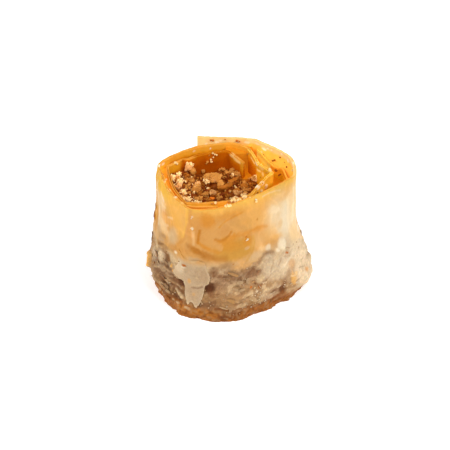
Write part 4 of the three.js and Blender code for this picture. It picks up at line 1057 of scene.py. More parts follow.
class BAKLAVA_OT_outer_turn(bpy.types.Operator):
    """Model the outer turn, from its crusted foot to its rim, with its plies"""

    bl_idname = "baklava.outer_turn"
    bl_label = "Outer turn"

    def execute(self, context):
        sizes = context.scene.baklava_sizes
        half = sizes.turn * 500
        path = outer_path()

        def face(height, push):
            return wall(*path.columns(), height, push)

        def outside(angle, height, points):
            colour, rough, rise = wall_look(angle, height, points)
            return lit(colour, angle, height), rough, rise + relief(angle, height, sizes.crag * 1000)

        faces = OUTER_TURN_FACES
        skin = sheet_ply("outer_turn", path, (half, half - 0.3), 0.0, face, (124, 10), faces, 0.0, outside, None, OUTER_SPOTS)
        finished(softened(skin), phyllo(), PASTRY)
        spans = [(half - 0.31, half - 0.6, -0.1), (half - 0.61, -half, -0.03)]
        plies = [
            sheet_ply(f"ply_{k}", path, (a, b), 25.0, face, (22, 30), faces, rise, marks=OUTER_SPOTS)
            for k, (a, b, rise) in enumerate(spans)
        ]
        finished(softened(joined("outer_plies", plies)), phyllo(), PASTRY)
        return {"FINISHED"}


class BAKLAVA_OT_inner_turn(bpy.types.Operator):
    """Model the inner turn and the end of the sheet that hangs into the nuts"""

    bl_idname = "baklava.inner_turn"
    bl_label = "Inner turn"

    def execute(self, context):
        half = context.scene.baklava_sizes.turn * 500
        path = Path([*INNER_CREASES, *INNER_END], rounding=2)

        def face(height, push):
            return upright(path, height, push)

        spans = [(half, 0.12, 0.0), (0.1, -0.14, -0.25), (-0.16, -half, -0.05)]
        plies = [
            sheet_ply(f"ply_{k}", path, (a, b), 0.0, face, (44, 48), INNER_TURN_FACES, rise, None, INNER_TURN_BACKS, INNER_SPOTS)
            for k, (a, b, rise) in enumerate(spans)
        ]
        finished(softened(joined("inner_turn", plies)), phyllo(), PASTRY)
        return {"FINISHED"}


class BAKLAVA_OT_loose_leaves(bpy.types.Operator):
    """Model the loose leaves that stand between the turns"""

    bl_idname = "baklava.loose_leaves"
    bl_label = "Loose leaves"

    def execute(self, context):
        half = context.scene.baklava_sizes.leaf * 500
        plies = []
        for creases, faces in ((RIGHT_LEAF, RIGHT_LEAF_FACES), (FRONT_LEAF, FRONT_LEAF_FACES)):
            path = Path(creases, rounding=3)

            def face(height, push, path=path):
                return upright(path, height, push)

            plies.append(sheet_ply("ply", path, (half, -half), 26.0, face, (40, 40), faces))
        finished(softened(joined("loose_leaves", plies)), phyllo(), PASTRY)
        return {"FINISHED"}


class BAKLAVA_OT_pressed_turns(bpy.types.Operator):
    """Model the pressed turns below the gaps, round the space for the nuts"""

    bl_idname = "baklava.pressed_turns"
    bl_label = "Pressed turns"

    def execute(self, context):
        path = outer_path()
        keep = np.flatnonzero((path.x > -1) & (path.y > 0))[0]
        first, last = keep, len(path.x) - 24
        columns = [v[first:last:3] for v in (path.x, path.y, path.angle, path.out_x, path.out_y, path.tuck)]
        front = np.interp(columns[0], [2, POCKET_FROM], [FRONT_FLOOR, POCKET_FLOOR])
        floor = np.where(columns[1] < 8, front, np.where(columns[0] > POCKET_FROM, POCKET_FLOOR, GROOVE_FLOOR))
        floor = np.where((columns[1] > 13) & (np.abs(columns[0] - 3) < 5), WEDGE_FLOOR, floor)
        levels = (1, 0.7, 0.45, 0.27, 0.12, 0.0)
        insets = (0.1, 0.5, 0.9, 1.0, 1.0, 1.0)
        rings = [wall(*columns, share * floor, 0.0 * floor - inset) for share, inset in zip(levels, insets)]
        middle = rings[0].mean(axis=0)
        top = [middle + (rings[0] - middle) * share for share in (0.0, 0.5)]
        foot = [rings[-1] * np.array([share, share, 1]) for share in (0.5, 0.0)]
        table = np.stack([*top, *rings, *foot])[:, ::-1]
        mass, segment, ring = new_ball("pressed_turns", table.shape[1], table.shape[0] - 1)
        placed(mass, table[ring, segment])
        core = self.core()
        cut = mass.modifiers.new("Nuts", "BOOLEAN")
        cut.operation, cut.solver, cut.object = "DIFFERENCE", "EXACT", core
        alone()
        mass.select_set(True)
        context.view_layer.objects.active = mass
        bpy.ops.object.modifier_apply(modifier=cut.name)
        bpy.data.objects.remove(core, do_unlink=True)
        points = coordinates(mass.data) * 1000 - AXIS
        # Painted light and shade: the mass takes the painted-shade colour of the deep insides, with the lit colour only
        # at its top, and the wedge behind the flap, whose face lies in shadow, is painted the same; the top glows as
        # painted light except at the front, and the wedge glows more strongly the lower it lies.
        colour = banded(points[:, 2] + clouds(points, 1.5, 61), [(4, "base"), (20, "deep"), (32.5, "deep"), (33.5, "nectar")])
        wedge = smooth(points[:, 1], 12, 14)
        wedge = wedge * (1 - smooth(np.abs(points[:, 0] - 3), 5, 7))
        colour = blend(colour, tone("deep"), 0.75 * wedge)
        through = 0.4 * (1 - wedge) * smooth(points[:, 2], 28, 30) * smooth(points[:, 1], -15, -11)
        painted(mass, colour, 0.5, through + 0.9 * wedge * smooth(36 - points[:, 2], 0, 6))
        finished(softened(mass), phyllo(), PASTRY)
        return {"FINISHED"}

    def core(self):
        """A prism over the middle of the inner turn."""
        path = Path(INNER_CREASES, rounding=3)
        plan = np.stack([path.x, path.y], axis=1)[::-6]
        piece, segment, ring = new_ball("core", len(plan), 4)
        heights = np.array([60.0, 60.0, 29.0, -9.0, -9.0])[ring]
        reach = np.array([0.0, 1.0, 1.0, 1.0, 0.0])[ring][:, None]
        placed(piece, np.hstack([plan[segment] * reach, heights[:, None]]))
        return piece


class BAKLAVA_OT_crusts(bpy.types.Operator):
    """Model the torn pale leaf and the raised crusts on the wall"""

    bl_idname = "baklava.crusts"
    bl_label = "Torn leaf and crusts"

    def execute(self, context):
        half = context.scene.baklava_sizes.turn * 500
        skin = Skin(outer_path())
        middle, wide, tall = (-117.0, 13.0), 15.2, 18.0
        edge = [((a - middle[0]) * MM_PER_DEGREE * 2 / wide, (z - middle[1]) * 2 / tall) for a, z in LEAF_EDGE]
        torn = self.shell(skin, half, (*middle, wide, tall, 0.02, 0.45), outline(edge, 220, 0.05, 3), 26, 0.3)
        finished(softened(torn), phyllo(), PASTRY)
        lumps = []
        for crust in CRUSTS:
            corners = outline(ragged_corners(crust[0] + 400, 18, 0.34), 90, 0.1, crust[0] % 50)
            lumps.append(self.shell(skin, half, crust[:6], corners, 18, None, crust[6]))
        finished(softened(joined("raised_crusts", lumps)), phyllo(), PASTRY)
        return {"FINISHED"}

    def shell(self, skin, half, crust, edge, rings, thickness, name=""):
        """A crust on the wall: a thin leaf of a thickness, or a lump rooted in the wall."""
        direction, middle, wide, tall, upper, lower = crust
        piece, segment, ring = new_ball("torn_leaf" if thickness else "crust", len(edge), 2 * rings)
        out = np.where(ring <= rings, ring, 2 * rings - ring) / rings
        along, up = (edge[segment] * out[:, None] * np.array([wide, tall]) / 2).T
        height = np.maximum(EDGE_HEIGHT / 2, middle + up)
        angle = np.radians(direction + along / MM_PER_DEGREE)
        flat = skin.at(angle, height, half)
        stand = lower + (upper - lower) * (up / tall + 0.5)
        rough = clouds(flat, 2.0, 71)
        if thickness:
            front = stand + 0.16 * rough + 0.12 * out**8 * clouds(flat, 1.5, 72)
            front += self.leaf_fold(angle, height)
            wall_colour, dull, lift = wall_look(angle, height, flat)
            below = lift + relief(angle, height, bpy.context.scene.baklava_sizes.crag * 1000)
            front = np.maximum(front + 0.25 * below, below + 0.12)
            push = np.where(ring <= rings, front, front - thickness * (1 - 0.5 * out**6))
            colour = blend(self.leaf_look(angle, height, flat, out), wall_colour, smooth(height + 0.8 * rough, 17.6, 20.4))
        else:
            dome = stand * (0.55 + 0.45 * np.sqrt(np.clip(1 - out**4, 0, 1))) + 0.3 * rough + 0.1 * noise(flat, 0.8, 73)
            push = np.where(ring <= rings, dome, -0.4)
            colour, dull, _ = wall_look(angle, height, flat)
            colour = blend(colour, tone(name), 0.85 * smooth(height + rough, 0.5, 4))
            colour = blend(colour, tone("tan"), 0.6 * smooth(clouds(flat, 1.7, 74), 0.15, 0.5))
            colour = blend(colour, tone("straw"), 0.6 * smooth(-clouds(flat, 1.4, 76), 0.1, 0.5))
        placed(piece, skin.at(angle, height, half + push))
        painted(piece, lit(colour, angle, height), dull)
        return piece

    def leaf_fold(self, angle, height):
        """The crease across the torn leaf's lower part."""
        line = streak_share(([(-116.8, 11.9), (-113, 12.2), (-110.0, 12.8)], 0.35, "", 1.0, 0.6, 0.0), angle, height, 0.0)
        return 0.12 * line

    def leaf_look(self, angle, height, points, out):
        """Colours of the torn pale leaf, with a painted shadow and a painted highlight along its crease and a painted
        highlight just below its orange pit.
        """
        colour = np.broadcast_to(tone("leaf"), (len(out), 3)).copy()
        colour = blend(colour, tone("straw"), 0.35 * smooth(off_direction(angle, -120) * -1, -1, 5))
        marks = [
            (-109, 15.5, 2.4, 2.6, 0, "beige", 0.6, 0.6, 0.0), (-128, 17.0, 1.6, 2.4, 0, "pearl", 0.35, 0.6, 0.0),
            # The pale spot just below the orange pit is a painted highlight.
            (-116, 9.0, 1.4, 2.5, 0, "beige", 0.5, 0.6, 0.0), (-124.2, 17.1, 0.8, 0.35, 15, "pearl", 0.7, 0.5, 0.0),
            (-123.5, 17.8, 0.75, 0.36, 15, "spot", 0.95, 0.4, 0.0), (-119, 13.3, 0.5, 0.7, 0, "honey", 0.75, 0.5, 0.0),
            (-116, 9.1, 0.4, 0.5, 0, "honey", 0.5, 0.5, 0.0), (-113.6, 14.8, 0.4, 0.3, 0, "straw", 0.6, 0.5, 0.0),
            (-118, 4.6, 1.6, 1.2, 0, "straw", 0.6, 0.5, 0.0),
        ]
        frayed = 0.3 * clouds(points, 1.2, 75)
        for mark in marks:
            colour = blend(colour, tone(mark[5]), patch_share(mark, angle, height, frayed))
        # Painted shadow below the crease and painted highlight above it.
        shadow = streak_share(([(-117, 11.3), (-113, 11.5), (-110, 12.1)], 0.3, "", 0.6, 0.6, 0.0), angle, height, 0.0)
        crease_highlight = streak_share(([(-117, 12.1), (-113, 12.4), (-110, 13.0)], 0.22, "", 0.5, 0.7, 0.0), angle, height, 0.0)
        colour = blend(blend(colour, tone("mauve"), shadow), tone("straw"), crease_highlight)
        colour = blend(colour, tone("shell"), 0.35 * smooth(out, 0.88, 1.0))
        return colour * (1 + 0.1 * clouds(points, 0.8, 77) + 0.08 * clouds(points, 2.6, 78))[:, None]


class BAKLAVA_OT_scraps(bpy.types.Operator):
    """Model the thin scraps of leaf that peel off the lower wall"""

    bl_idname = "baklava.scraps"
    bl_label = "Scraps of leaf"

    def execute(self, context):
        sizes = context.scene.baklava_sizes
        half = sizes.turn * 500
        skin = Skin(outer_path())
        faces, segment, out, front = disc(16, 3)
        draw = np.random.default_rng(5)
        points, colours = [], []
        while len(points) < sizes.scraps:
            direction, middle = draw.uniform(-180, 180), 3.2 + 15 * draw.beta(1.2, 1.6)
            if -136 < direction < -96 and 3 < middle < 23 or not -152 < direction < 166 and middle < 8 or (-58 < direction < -6 or direction < -148) and draw.uniform() < 0.6:
                continue
            wide, tall = draw.uniform(0.7, 2.4), draw.uniform(0.35, 1.1)
            tilt = math.radians(draw.normal(-5, 12))
            edge = outline(ragged_corners(int(draw.integers(1e6)), 7, 0.55), 16, 0.1, int(draw.integers(1000)))[segment]
            flat = edge * out[:, None] * np.array([wide, tall])
            along = flat[:, 0] * math.cos(tilt) - flat[:, 1] * math.sin(tilt)
            up = flat[:, 0] * math.sin(tilt) + flat[:, 1] * math.cos(tilt)
            height = np.maximum(EDGE_HEIGHT / 2, middle + up)
            angle = np.radians(direction + along / MM_PER_DEGREE)
            lifted = draw.uniform(0.05, 0.3) + draw.uniform(-0.1, 0.28) * flat[:, 1] / tall + 0.1 * out**2
            relief_here = relief(angle, height, sizes.crag * 1000)
            push = half + relief_here + lifted - np.where(front, 0.0, 0.22)
            points.append(skin.at(angle, height, push))
            colour, dull, _ = wall_look(np.array([math.radians(direction)]), np.array([middle]), points[-1][:1])
            shade = draw.choice(["straw", "tan", "beige", "honey", "brown", "base"], p=[0.3, 0.2, 0.2, 0.12, 0.12, 0.06])
            shade = "shell" if -60 < direction < 40 and shade in ("honey", "brown", "base", "straw") else shade
            colour = lit(blend(colour, tone(shade), np.array([0.4])), np.radians([direction]), np.array([middle])) * draw.uniform(0.9, 1.08)
            colours.append(np.clip(np.broadcast_to(colour, (len(out), 3)) * (0.94 + 0.1 * out)[:, None], 0, 1))
        piece = copies("leaf_scraps", faces, np.array(points), np.array(colours), 0.55)
        finished(softened(piece), phyllo(), PASTRY)
        return {"FINISHED"}


def fill_height(x, y):
    """The height of the nuts' bed, as in the solids."""
    left = MOUND * (1 - smooth(x, -17, -7)) - 0.4
    front = FRONT_MOUND * (1 - smooth(y, -16, -4))
    return FILL_TOP + np.maximum(left, front) + 0.5 * np.sin(0.9 * x + 1.1) * np.sin(0.8 * y)


def corner(x, y):
    """How far a point lies in the tight corner by the hanging flap, which holds leaf and no nuts."""
    return smooth(x, 3.4, 4.4) * (1 - smooth(x, 6.8, 7.4)) * smooth(y, 8.2, 9.4)


class BAKLAVA_OT_nut_heap(bpy.types.Operator):
    """Model the heap of nuts that fills the inner turn down to the foot"""

    bl_idname = "baklava.nut_heap"
    bl_label = "Heap of nuts"

    def execute(self, context):
        path = Path(INNER_CREASES, rounding=3)
        inset = context.scene.baklava_sizes.turn * 500 + FIT_GAP
        plan = np.stack([path.x - path.out_x * inset, path.y - path.out_y * inset], axis=1)[::-2]
        rings = []
        for share in np.linspace(0, 1, 34):
            x, y = -2 + (plan[:, 0] + 2) * share, plan[:, 1] * share
            rings.append(np.stack([x, y, fill_height(x, y)], axis=1))
        for height in (24.0, 16.0, 8.0, 0.0):
            rings.append(np.hstack([plan, np.full((len(plan), 1), height)]))
        rings.append(rings[-1] * np.array([0.5, 0.5, 1]))
        rings.append(rings[-1] * np.array([0.0, 0.0, 1]))
        table = np.stack(rings)
        piece, segment, ring = new_ball("nut_heap", len(plan), len(table) - 1)
        points = table[ring, segment]
        bumpy = 0.5 * clouds(points, 2.4, 81) + 0.35 * clouds(points, 1.1, 83)
        tight = corner(points[:, 0], points[:, 1])
        points[:, 2] += np.where(ring < 33, (bumpy - 0.1) * (1 - tight) + 0.5 * tight, 0.0)
        placed(piece, points)
        share = 0.5 + 0.5 * clouds(points, 1.3, 85)
        colour = blend(np.broadcast_to(tone("shade"), points.shape), tone("skin"), smooth(share, 0.3, 0.7))
        colour = blend(colour, tone("toast"), smooth(share, 0.62, 0.85))
        # In the tight corner the heap is painted as leaf in the painted-shade colour of the deep insides, and glows
        # more there as painted light.
        colour = blend(colour, tone("deep"), 0.85 * tight)
        painted(piece, colour, 0.6, NUT_GLOW + 0.4 * tight * smooth(points[:, 1], 9, 12))
        finished(softened(piece), pecan(), NUTS)
        return {"FINISHED"}


def inside_inner(x, y, margin):
    """Which points lie inside the inner turn, by a margin."""
    path = Path(INNER_CREASES, step=1.0, rounding=1)
    px, py = path.x - path.out_x * margin, path.y - path.out_y * margin
    qx, qy = np.roll(px, -1), np.roll(py, -1)
    x, y = np.asarray(x)[:, None], np.asarray(y)[:, None]
    crosses = (py > y) != (qy > y)
    with np.errstate(divide="ignore", invalid="ignore"):
        at = (qx - px) * (y - py) / (qy - py) + px
    return (crosses & (x < at)).sum(axis=1) % 2 == 1


FLAKY = np.array([1.15, 1.1, 0.5])  # crumbs are thinner one way
# Clumps of crumbs on the heap: x, y, height, spread along x, y and up, how many, radius, colour
CLUMPS = [
    (-11.9, 10.0, 35.6, 1.3, 0.5, 0.6, 26, 0.36, "pale"), (-12.4, 9.4, 34.4, 1.1, 0.7, 0.8, 24, 0.42, "blush"),
    (-10.8, 9.6, 33.6, 0.9, 0.8, 1.1, 22, 0.42, "flesh"), (-16.6, 3.4, 34.7, 0.8, 1.0, 0.9, 30, 0.4, "pale"),
    (-15.2, 5.6, 34.5, 0.7, 0.9, 0.8, 22, 0.38, "pale"), (-14.5, 1.6, 34.2, 1.1, 0.9, 0.8, 34, 0.4, "pale"),
    (-15.3, -2.0, 34.4, 0.9, 1.2, 0.7, 32, 0.4, "blush"), (-13.4, -4.0, 33.8, 1.1, 1.0, 0.7, 34, 0.38, "pale"),
    (-14.2, -7.6, 33.9, 0.9, 1.2, 0.6, 20, 0.38, "blush"), (-11.8, -9.4, 34.4, 1.6, 0.9, 0.5, 44, 0.34, "pale"), (-9.6, -9.6, 33.6, 1.4, 0.8, 0.4, 26, 0.3, "pale"),
    (-9.6, -0.6, 33.3, 1.3, 1.1, 1.6, 40, 0.28, "flesh"), (-9.4, -0.4, 33.7, 1.1, 0.9, 1.3, 24, 0.26, "pale"),
    (-4.8, 7.0, 32.8, 3.0, 1.8, 0.6, 60, 0.24, "flesh"), (-5.0, 6.0, 32.6, 2.2, 1.4, 0.5, 24, 0.22, "blush"),
    (7.4, 8.2, 31.8, 1.4, 1.0, 1.0, 26, 0.32, "flesh"), (7.9, 8.0, 32.3, 0.9, 0.6, 0.8, 12, 0.26, "pale"),
    (-12.3, 0.6, 32.9, 1.0, 1.2, 0.6, 26, 0.4, "flesh"), (-11.6, 4.8, 32.8, 1.1, 1.0, 0.6, 26, 0.38, "flesh"),
    (-12.9, 7.2, 33.4, 0.9, 0.8, 0.6, 18, 0.42, "toast"), (-6.7, 5.8, 32.0, 0.8, 1.3, 0.5, 30, 0.34, "pale"),
    (-4.7, -0.2, 31.4, 1.0, 0.9, 0.7, 26, 0.4, "blush"), (-7.0, -0.9, 31.4, 1.1, 0.9, 0.6, 26, 0.4, "flesh"),
    (-8.9, -1.2, 31.4, 0.8, 0.8, 0.5, 14, 0.4, "toast"), (-2.8, -3.6, 31.6, 0.8, 1.0, 0.7, 20, 0.38, "flesh"),
    (-0.3, -1.8, 31.2, 1.0, 0.9, 0.7, 20, 0.42, "toast"), (2.7, 0.2, 31.4, 1.1, 1.2, 0.8, 30, 0.42, "blush"),
    (5.0, 1.8, 31.2, 1.1, 1.2, 0.8, 30, 0.4, "flesh"), (4.4, 5.2, 31.2, 1.1, 1.2, 0.8, 28, 0.42, "flesh"),
    (6.4, 5.4, 31.0, 0.7, 1.0, 0.8, 14, 0.4, "toast"), (4.4, -2.4, 31.6, 0.9, 0.8, 0.8, 20, 0.38, "pale"),
    (2.0, 5.8, 31.4, 0.8, 1.1, 0.7, 14, 0.42, "skin"), (0.2, 11.9, 31.6, 1.6, 0.7, 0.7, 26, 0.4, "flesh"),
    (2.3, 11.0, 31.8, 1.2, 0.7, 0.7, 24, 0.42, "flesh"), (-2.2, 13.4, 31.9, 1.0, 0.4, 0.5, 16, 0.34, "flesh"),
    (-1.2, 12.4, 31.0, 1.0, 0.6, 0.5, 14, 0.42, "toast"), (-9.0, -4.4, 31.6, 1.6, 1.0, 0.5, 26, 0.38, "flesh"),
    (-5.8, -4.6, 31.2, 1.0, 0.9, 0.4, 12, 0.4, "toast"), (1.6, -5.2, 32.0, 1.8, 0.9, 0.6, 30, 0.36, "pale"),
    (3.2, 8.6, 31.4, 1.1, 0.9, 0.6, 16, 0.4, "toast"), (-9.2, 4.2, 31.9, 0.9, 1.2, 0.5, 16, 0.36, "toast"),
]
# Large pieces of nut: x, y, height, three radii, three turns in degrees, colour
CHUNKS = [
    (-9.7, -0.5, 33.0, (1.2, 1.0, 1.7), (10, 14, 20), "flesh"),
    (-9.4, 0.6, 33.8, (0.9, 0.8, 1.1), (10, 30, 0), "blush"),
    (-12.2, 9.6, 34.6, (1.0, 0.8, 1.1), (10, 20, 0), "blush"),
    (-10.9, 9.4, 33.6, (0.8, 0.8, 1.2), (10, -20, 0), "flesh"),
    (2.4, 0.6, 31.3, (1.2, 1.1, 1.1), (30, 0, 0), "toast"),
    (4.6, 4.4, 31.0, (1.4, 1.1, 1.0), (0, 30, 20), "toast"),
    (-4.6, 0.2, 31.0, (1.2, 1.0, 0.8), (0, 0, 30), "toast"),
    (1.4, 12.2, 31.3, (1.8, 0.8, 0.8), (0, 10, -10), "toast"),
    (-12.4, 5.4, 32.4, (1.4, 1.1, 0.8), (0, 10, 40), "toast"),
]
# Broken flakes of nut: x, y, height, length, breadth, thickness, three turns in degrees, colour
FLAKES = [
    (-4.7, 7.0, 32.7, 7.4, 4.6, 1.1, (36, -6, -32), "flesh"),
    (-2.6, 4.2, 32.2, 3.6, 3.0, 1.0, (30, 4, -60), "flesh"),
    (-1.0, 2.6, 31.9, 7.8, 3.9, 1.3, (-40, 4, 42), "toast"),
    (1.2, 6.4, 31.9, 5.4, 1.6, 0.8, (20, -8, 38), "toast"),
    (7.7, 8.2, 31.5, 2.6, 1.9, 0.4, (56, 10, -34), "blush"),
    (-5.0, -4.2, 31.8, 2.0, 1.2, 0.5, (10, 0, 5), "spot"),
]


class BAKLAVA_OT_nut_pieces(bpy.types.Operator):
    """Strew chopped pecans over the heap, with the larger pieces and flakes given one by one"""

    bl_idname = "baklava.nut_pieces"
    bl_label = "Chopped pecans"

    def execute(self, context):
        nuts = context.scene.baklava_nuts
        draw = np.random.default_rng(17)
        count = 3 * nuts.crumbs
        x, y = draw.uniform(-19, 13, count), draw.uniform(-18, 17, count)
        radius = 1000 * (nuts.small + (nuts.large - nuts.small) * draw.beta(1.1, 3.6, count))
        inside = np.flatnonzero(inside_inner(x, y, 1.0))[: nuts.crumbs]
        x, y, radius = x[inside], y[inside], radius[inside]
        spots = np.stack([x, y, fill_height(x, y) + draw.uniform(-0.5, 0.5, len(x))], axis=1)
        sizes = radius[:, None] * draw.uniform(0.65, 1.3, (len(x), 3)) * FLAKY
        left = smooth(-x, 8, 14)
        names = np.array(["pale", "flesh", "toast", "skin", "shade"])
        luck = draw.uniform(0, 1, len(x)) - 0.3 * left
        colours = np.array([tone(n) for n in names])[np.digitize(luck, [0.04, 0.22, 0.5, 0.8])]
        more = self.clumps(draw)
        spots, sizes, colours = (np.vstack(pair) for pair in zip((spots, sizes, colours), more))
        along, back = spots[:, 0], spots[:, 1]
        spots[:, 2] -= 2 * corner(along, back)
        # Painted light and shade on the crumbs: darker in the middle towards the front, lighter towards the right and
        # the far left.
        shade = 0.22 * np.exp(-((along / 6) ** 2)) * (1 - smooth(back, 2, 6))
        colours = np.clip(colours * (1 - shade + 0.25 * smooth(along, 4, 7) + 0.2 * smooth(-along, 12, 15))[:, None], 0, 1)
        crumbs = strewn("nut_crumbs", spots, sizes, colours, 19, painted_shade_below=0.5, through=NUT_GLOW)
        finished(softened(crumbs, 35), pecan(), NUTS)
        self.chunks()
        self.flakes()
        return {"FINISHED"}

    def clumps(self, draw):
        """Crumbs heaped into clumps, each on the outside of a rounded mound."""
        spots, sizes, colours = [], [], []
        for x, y, z, along, back, up, count, radius, name in CLUMPS:
            way = draw.normal(size=(count, 3))
            way /= np.linalg.norm(way, axis=1)[:, None]
            way *= draw.uniform(0.3, 1.1, (count, 1)) * np.array([along, back, up])
            spots.append(np.array([x, y, z]) + way)
            sizes.append(radius * draw.uniform(0.55, 1.35, (count, 1)) * draw.uniform(0.7, 1.25, (count, 3)) * FLAKY)
            colours.append(tone(name) * draw.uniform(0.72, 1.12, (count, 1)))
        return np.vstack(spots), np.vstack(sizes), np.clip(np.vstack(colours), 0, 1)

    def chunks(self):
        spots = np.array([c[:3] for c in CHUNKS])
        sizes = np.array([c[3] for c in CHUNKS])
        colours = np.array([tone(c[5]) for c in CHUNKS])
        parts = []
        for k, chunk in enumerate(CHUNKS):
            shape, faces = self.rough_shape(300 + k)
            turn = turned(np.radians([chunk[4]]))[0]
            points = (shape * sizes[k]) @ turn.T + spots[k]
            shade = 1 + 0.2 * clouds(points, 0.9, 91) - 0.25 * smooth(-(points[:, 2] - spots[k][2]) / sizes[k].max(), -0.1, 1)
            colour = np.clip(colours[k] * shade[:, None], 0, 1)
            parts.append(copies(f"chunk_{k}", faces, points[None], colour[None], 0.55, NUT_GLOW))
        finished(softened(joined("nut_chunks", parts)), pecan(), NUTS)

    def rough_shape(self, seed):
        """A larger crumb with fine lumps."""
        alone()
        bpy.ops.mesh.primitive_ico_sphere_add(subdivisions=4, radius=1, location=(0, 0, 0))
        piece = bpy.context.object
        points = coordinates(piece.data)
        points = points * (1 + 0.3 * clouds(points, 0.8, seed) + 0.2 * clouds(points, 0.3, seed + 9))[:, None]
        faces = [tuple(f.vertices) for f in piece.data.polygons]
        bpy.data.objects.remove(piece, do_unlink=True)
        return points, faces

    def flakes(self):
        parts = []
        for k, (x, y, z, long, broad, thick, turns, name) in enumerate(FLAKES):
            edge = outline(ragged_corners(700 + k, 9, 0.35), 48, 0.08, 500 + k)
            piece, segment, ring = new_ball("flake", 48, 20)
            out = np.where(ring <= 10, ring, 20 - ring) / 10
            flat = edge[segment] * out[:, None] * np.array([long, broad]) / 2
            grid = np.hstack([flat, np.zeros((len(flat), 1))])
            lump = 0.4 * clouds(grid, 1.4, 95 + k) + 0.22 * clouds(grid, 0.6, 105 + k) + 0.03 * flat[:, 0] ** 2
            side = np.where(ring <= 10, 0.5, -0.5) * thick * np.sqrt(np.clip(1 - out**4, 0, 1))
            local = np.hstack([flat, (side + lump)[:, None]])
            points = local @ turned(np.radians([turns]))[0].T + np.array([x, y, z])
            placed(piece, points)
            shade = 1 + 0.22 * clouds(points, 1.3, 97) + 0.1 * noise(points, 0.5, 98)
            painted(piece, np.clip(tone(name) * shade[:, None], 0, 1), 0.5, NUT_GLOW)
            parts.append(piece)
        finished(softened(joined("nut_flakes", parts)), pecan(), NUTS)


# Crumbs that cling to the rims and walls: x, y, height, radius, colour
CLINGING = [
    (-16.1, 8.2, 37.0, 0.55, "pale"), (-15.6, 8.2, 36.7, 0.4, "pale"), (-4.9, 13.8, 37.3, 0.4, "pale"),
    (-4.3, 13.8, 36.9, 0.35, "pale"), (-3.8, 13.9, 36.7, 0.4, "pale"), (-5.5, 13.6, 35.2, 0.4, "pale"),
    (-5.3, 13.7, 34.5, 0.45, "pale"), (-6.5, 13.4, 34.5, 0.45, "flesh"), (-6.9, 13.3, 34.0, 0.3, "flesh"),
    (-18.1, -0.2, 33.6, 0.4, "pale"), (-19.5, 6.0, 34.5, 0.45, "flesh"), (-19.0, 6.8, 34.2, 0.35, "pale"),
    (12.2, 3.7, 36.9, 0.75, "pale"), (12.5, 3.3, 36.4, 0.6, "pale"), (11.9, 4.1, 36.3, 0.5, "pale"),
    (11.0, -2.2, 34.9, 0.55, "pale"), (10.9, -2.2, 34.2, 0.5, "pale"), (9.5, -5.2, 34.9, 0.5, "pale"),
    (8.5, -6.0, 35.0, 0.4, "flesh"), (8.4, -7.2, 35.3, 0.35, "toast"), (8.0, -8.0, 35.3, 0.4, "flesh"),
    (7.6, -8.8, 35.5, 0.35, "skin"), (7.9, -13.5, 37.8, 0.4, "pale"), (4.7, -13.2, 36.9, 0.7, "pale"),
    (4.2, -13.2, 37.2, 0.5, "pale"), (6.1, -14.6, 37.7, 0.3, "pale"), (8.0, -14.6, 36.4, 0.42, "pale"),
    (-0.3, -18.9, 37.4, 0.55, "pale"), (-1.0, -19.1, 37.4, 0.5, "pale"), (0.4, -18.8, 37.5, 0.4, "pale"),
    (1.7, -14.9, 37.0, 0.8, "pale"), (0.8, -15.0, 36.9, 0.65, "pale"), (2.5, -14.5, 36.9, 0.55, "pale"),
    (3.2, -14.4, 36.9, 0.45, "pale"), (0.0, -15.4, 36.9, 0.5, "flesh"), (-3.9, -16.1, 36.8, 0.45, "pale"),
    (-5.0, -16.0, 36.6, 0.35, "flesh"), (-19.9, 1.4, 36.6, 0.5, "flesh"), (-18.7, -2.4, 37.0, 0.4, "pale"),
    (8.7, 8.3, 37.1, 0.3, "pale"), (19.0, 2.5, 37.5, 0.4, "pale"), (18.2, 6.2, 38.2, 0.3, "pale"),
    (-7.9, 12.8, 31.6, 0.6, "flesh"), (-2.6, 14.0, 31.6, 0.6, "flesh"), (-1.6, 14.2, 31.8, 0.5, "flesh"),
    (-0.6, 14.2, 31.2, 0.5, "toast"), (1.0, 12.4, 32.4, 0.8, "flesh"), (2.2, 11.6, 32.0, 0.7, "toast"),
]
# Brown specks on the insides of the turns: x, y, height, radius
SPECKS = [
    (-5.6, 19.9, 38.6, 0.32), (-4.9, 19.8, 38.6, 0.32), (-1.2, 19.4, 39.1, 0.25), (2.4, 18.9, 38.9, 0.3),
    (3.2, 18.8, 38.7, 0.28), (8.8, 16.9, 35.8, 0.42), (10.4, 15.4, 35.8, 0.35), (13.8, 12.0, 35.9, 0.38),
    (13.2, 12.6, 35.4, 0.28), (15.4, 10.4, 37.7, 0.3), (17.4, 8.2, 35.6, 0.32), (14.2, 8.6, 34.2, 0.5),
    (15.1, 8.3, 32.7, 0.3), (15.5, 8.1, 33.1, 0.28), (14.4, 8.5, 30.4, 0.4), (8.76, 17.0, 34.4, 0.22),
    (15.1, 8.2, 30.3, 0.42), (13.9, 8.8, 28.6, 0.3), (16.8, 9.1, 36.7, 0.22),
]
# White grains on the lower wall: direction, height, spread along and up, how many
GRAIN_CLUSTERS = [
    (-28.5, 6.0, 1.8, 1.5, 16), (-68, 6.4, 1.4, 1.0, 12), (-75, 4.4, 1.2, 0.5, 7), (-84, 4.6, 2.0, 1.2, 9),
    (-60, 5.5, 2.0, 1.2, 10), (-64, 8.0, 2.0, 1.4, 9), (-72.2, 24.5, 0.25, 0.15, 4), (-60.5, 36.6, 0.2, 0.2, 3),
    (-78, 12.6, 1.6, 1.0, 8), (-92, 11.0, 2.4, 2.4, 9), (-117, 34.8, 0.1, 0.1, 1),
    (-117, 31.1, 0.15, 0.15, 2), (-146, 6.0, 2.2, 1.4, 8), (-103, 6.0, 2.2, 1.6, 7),
]


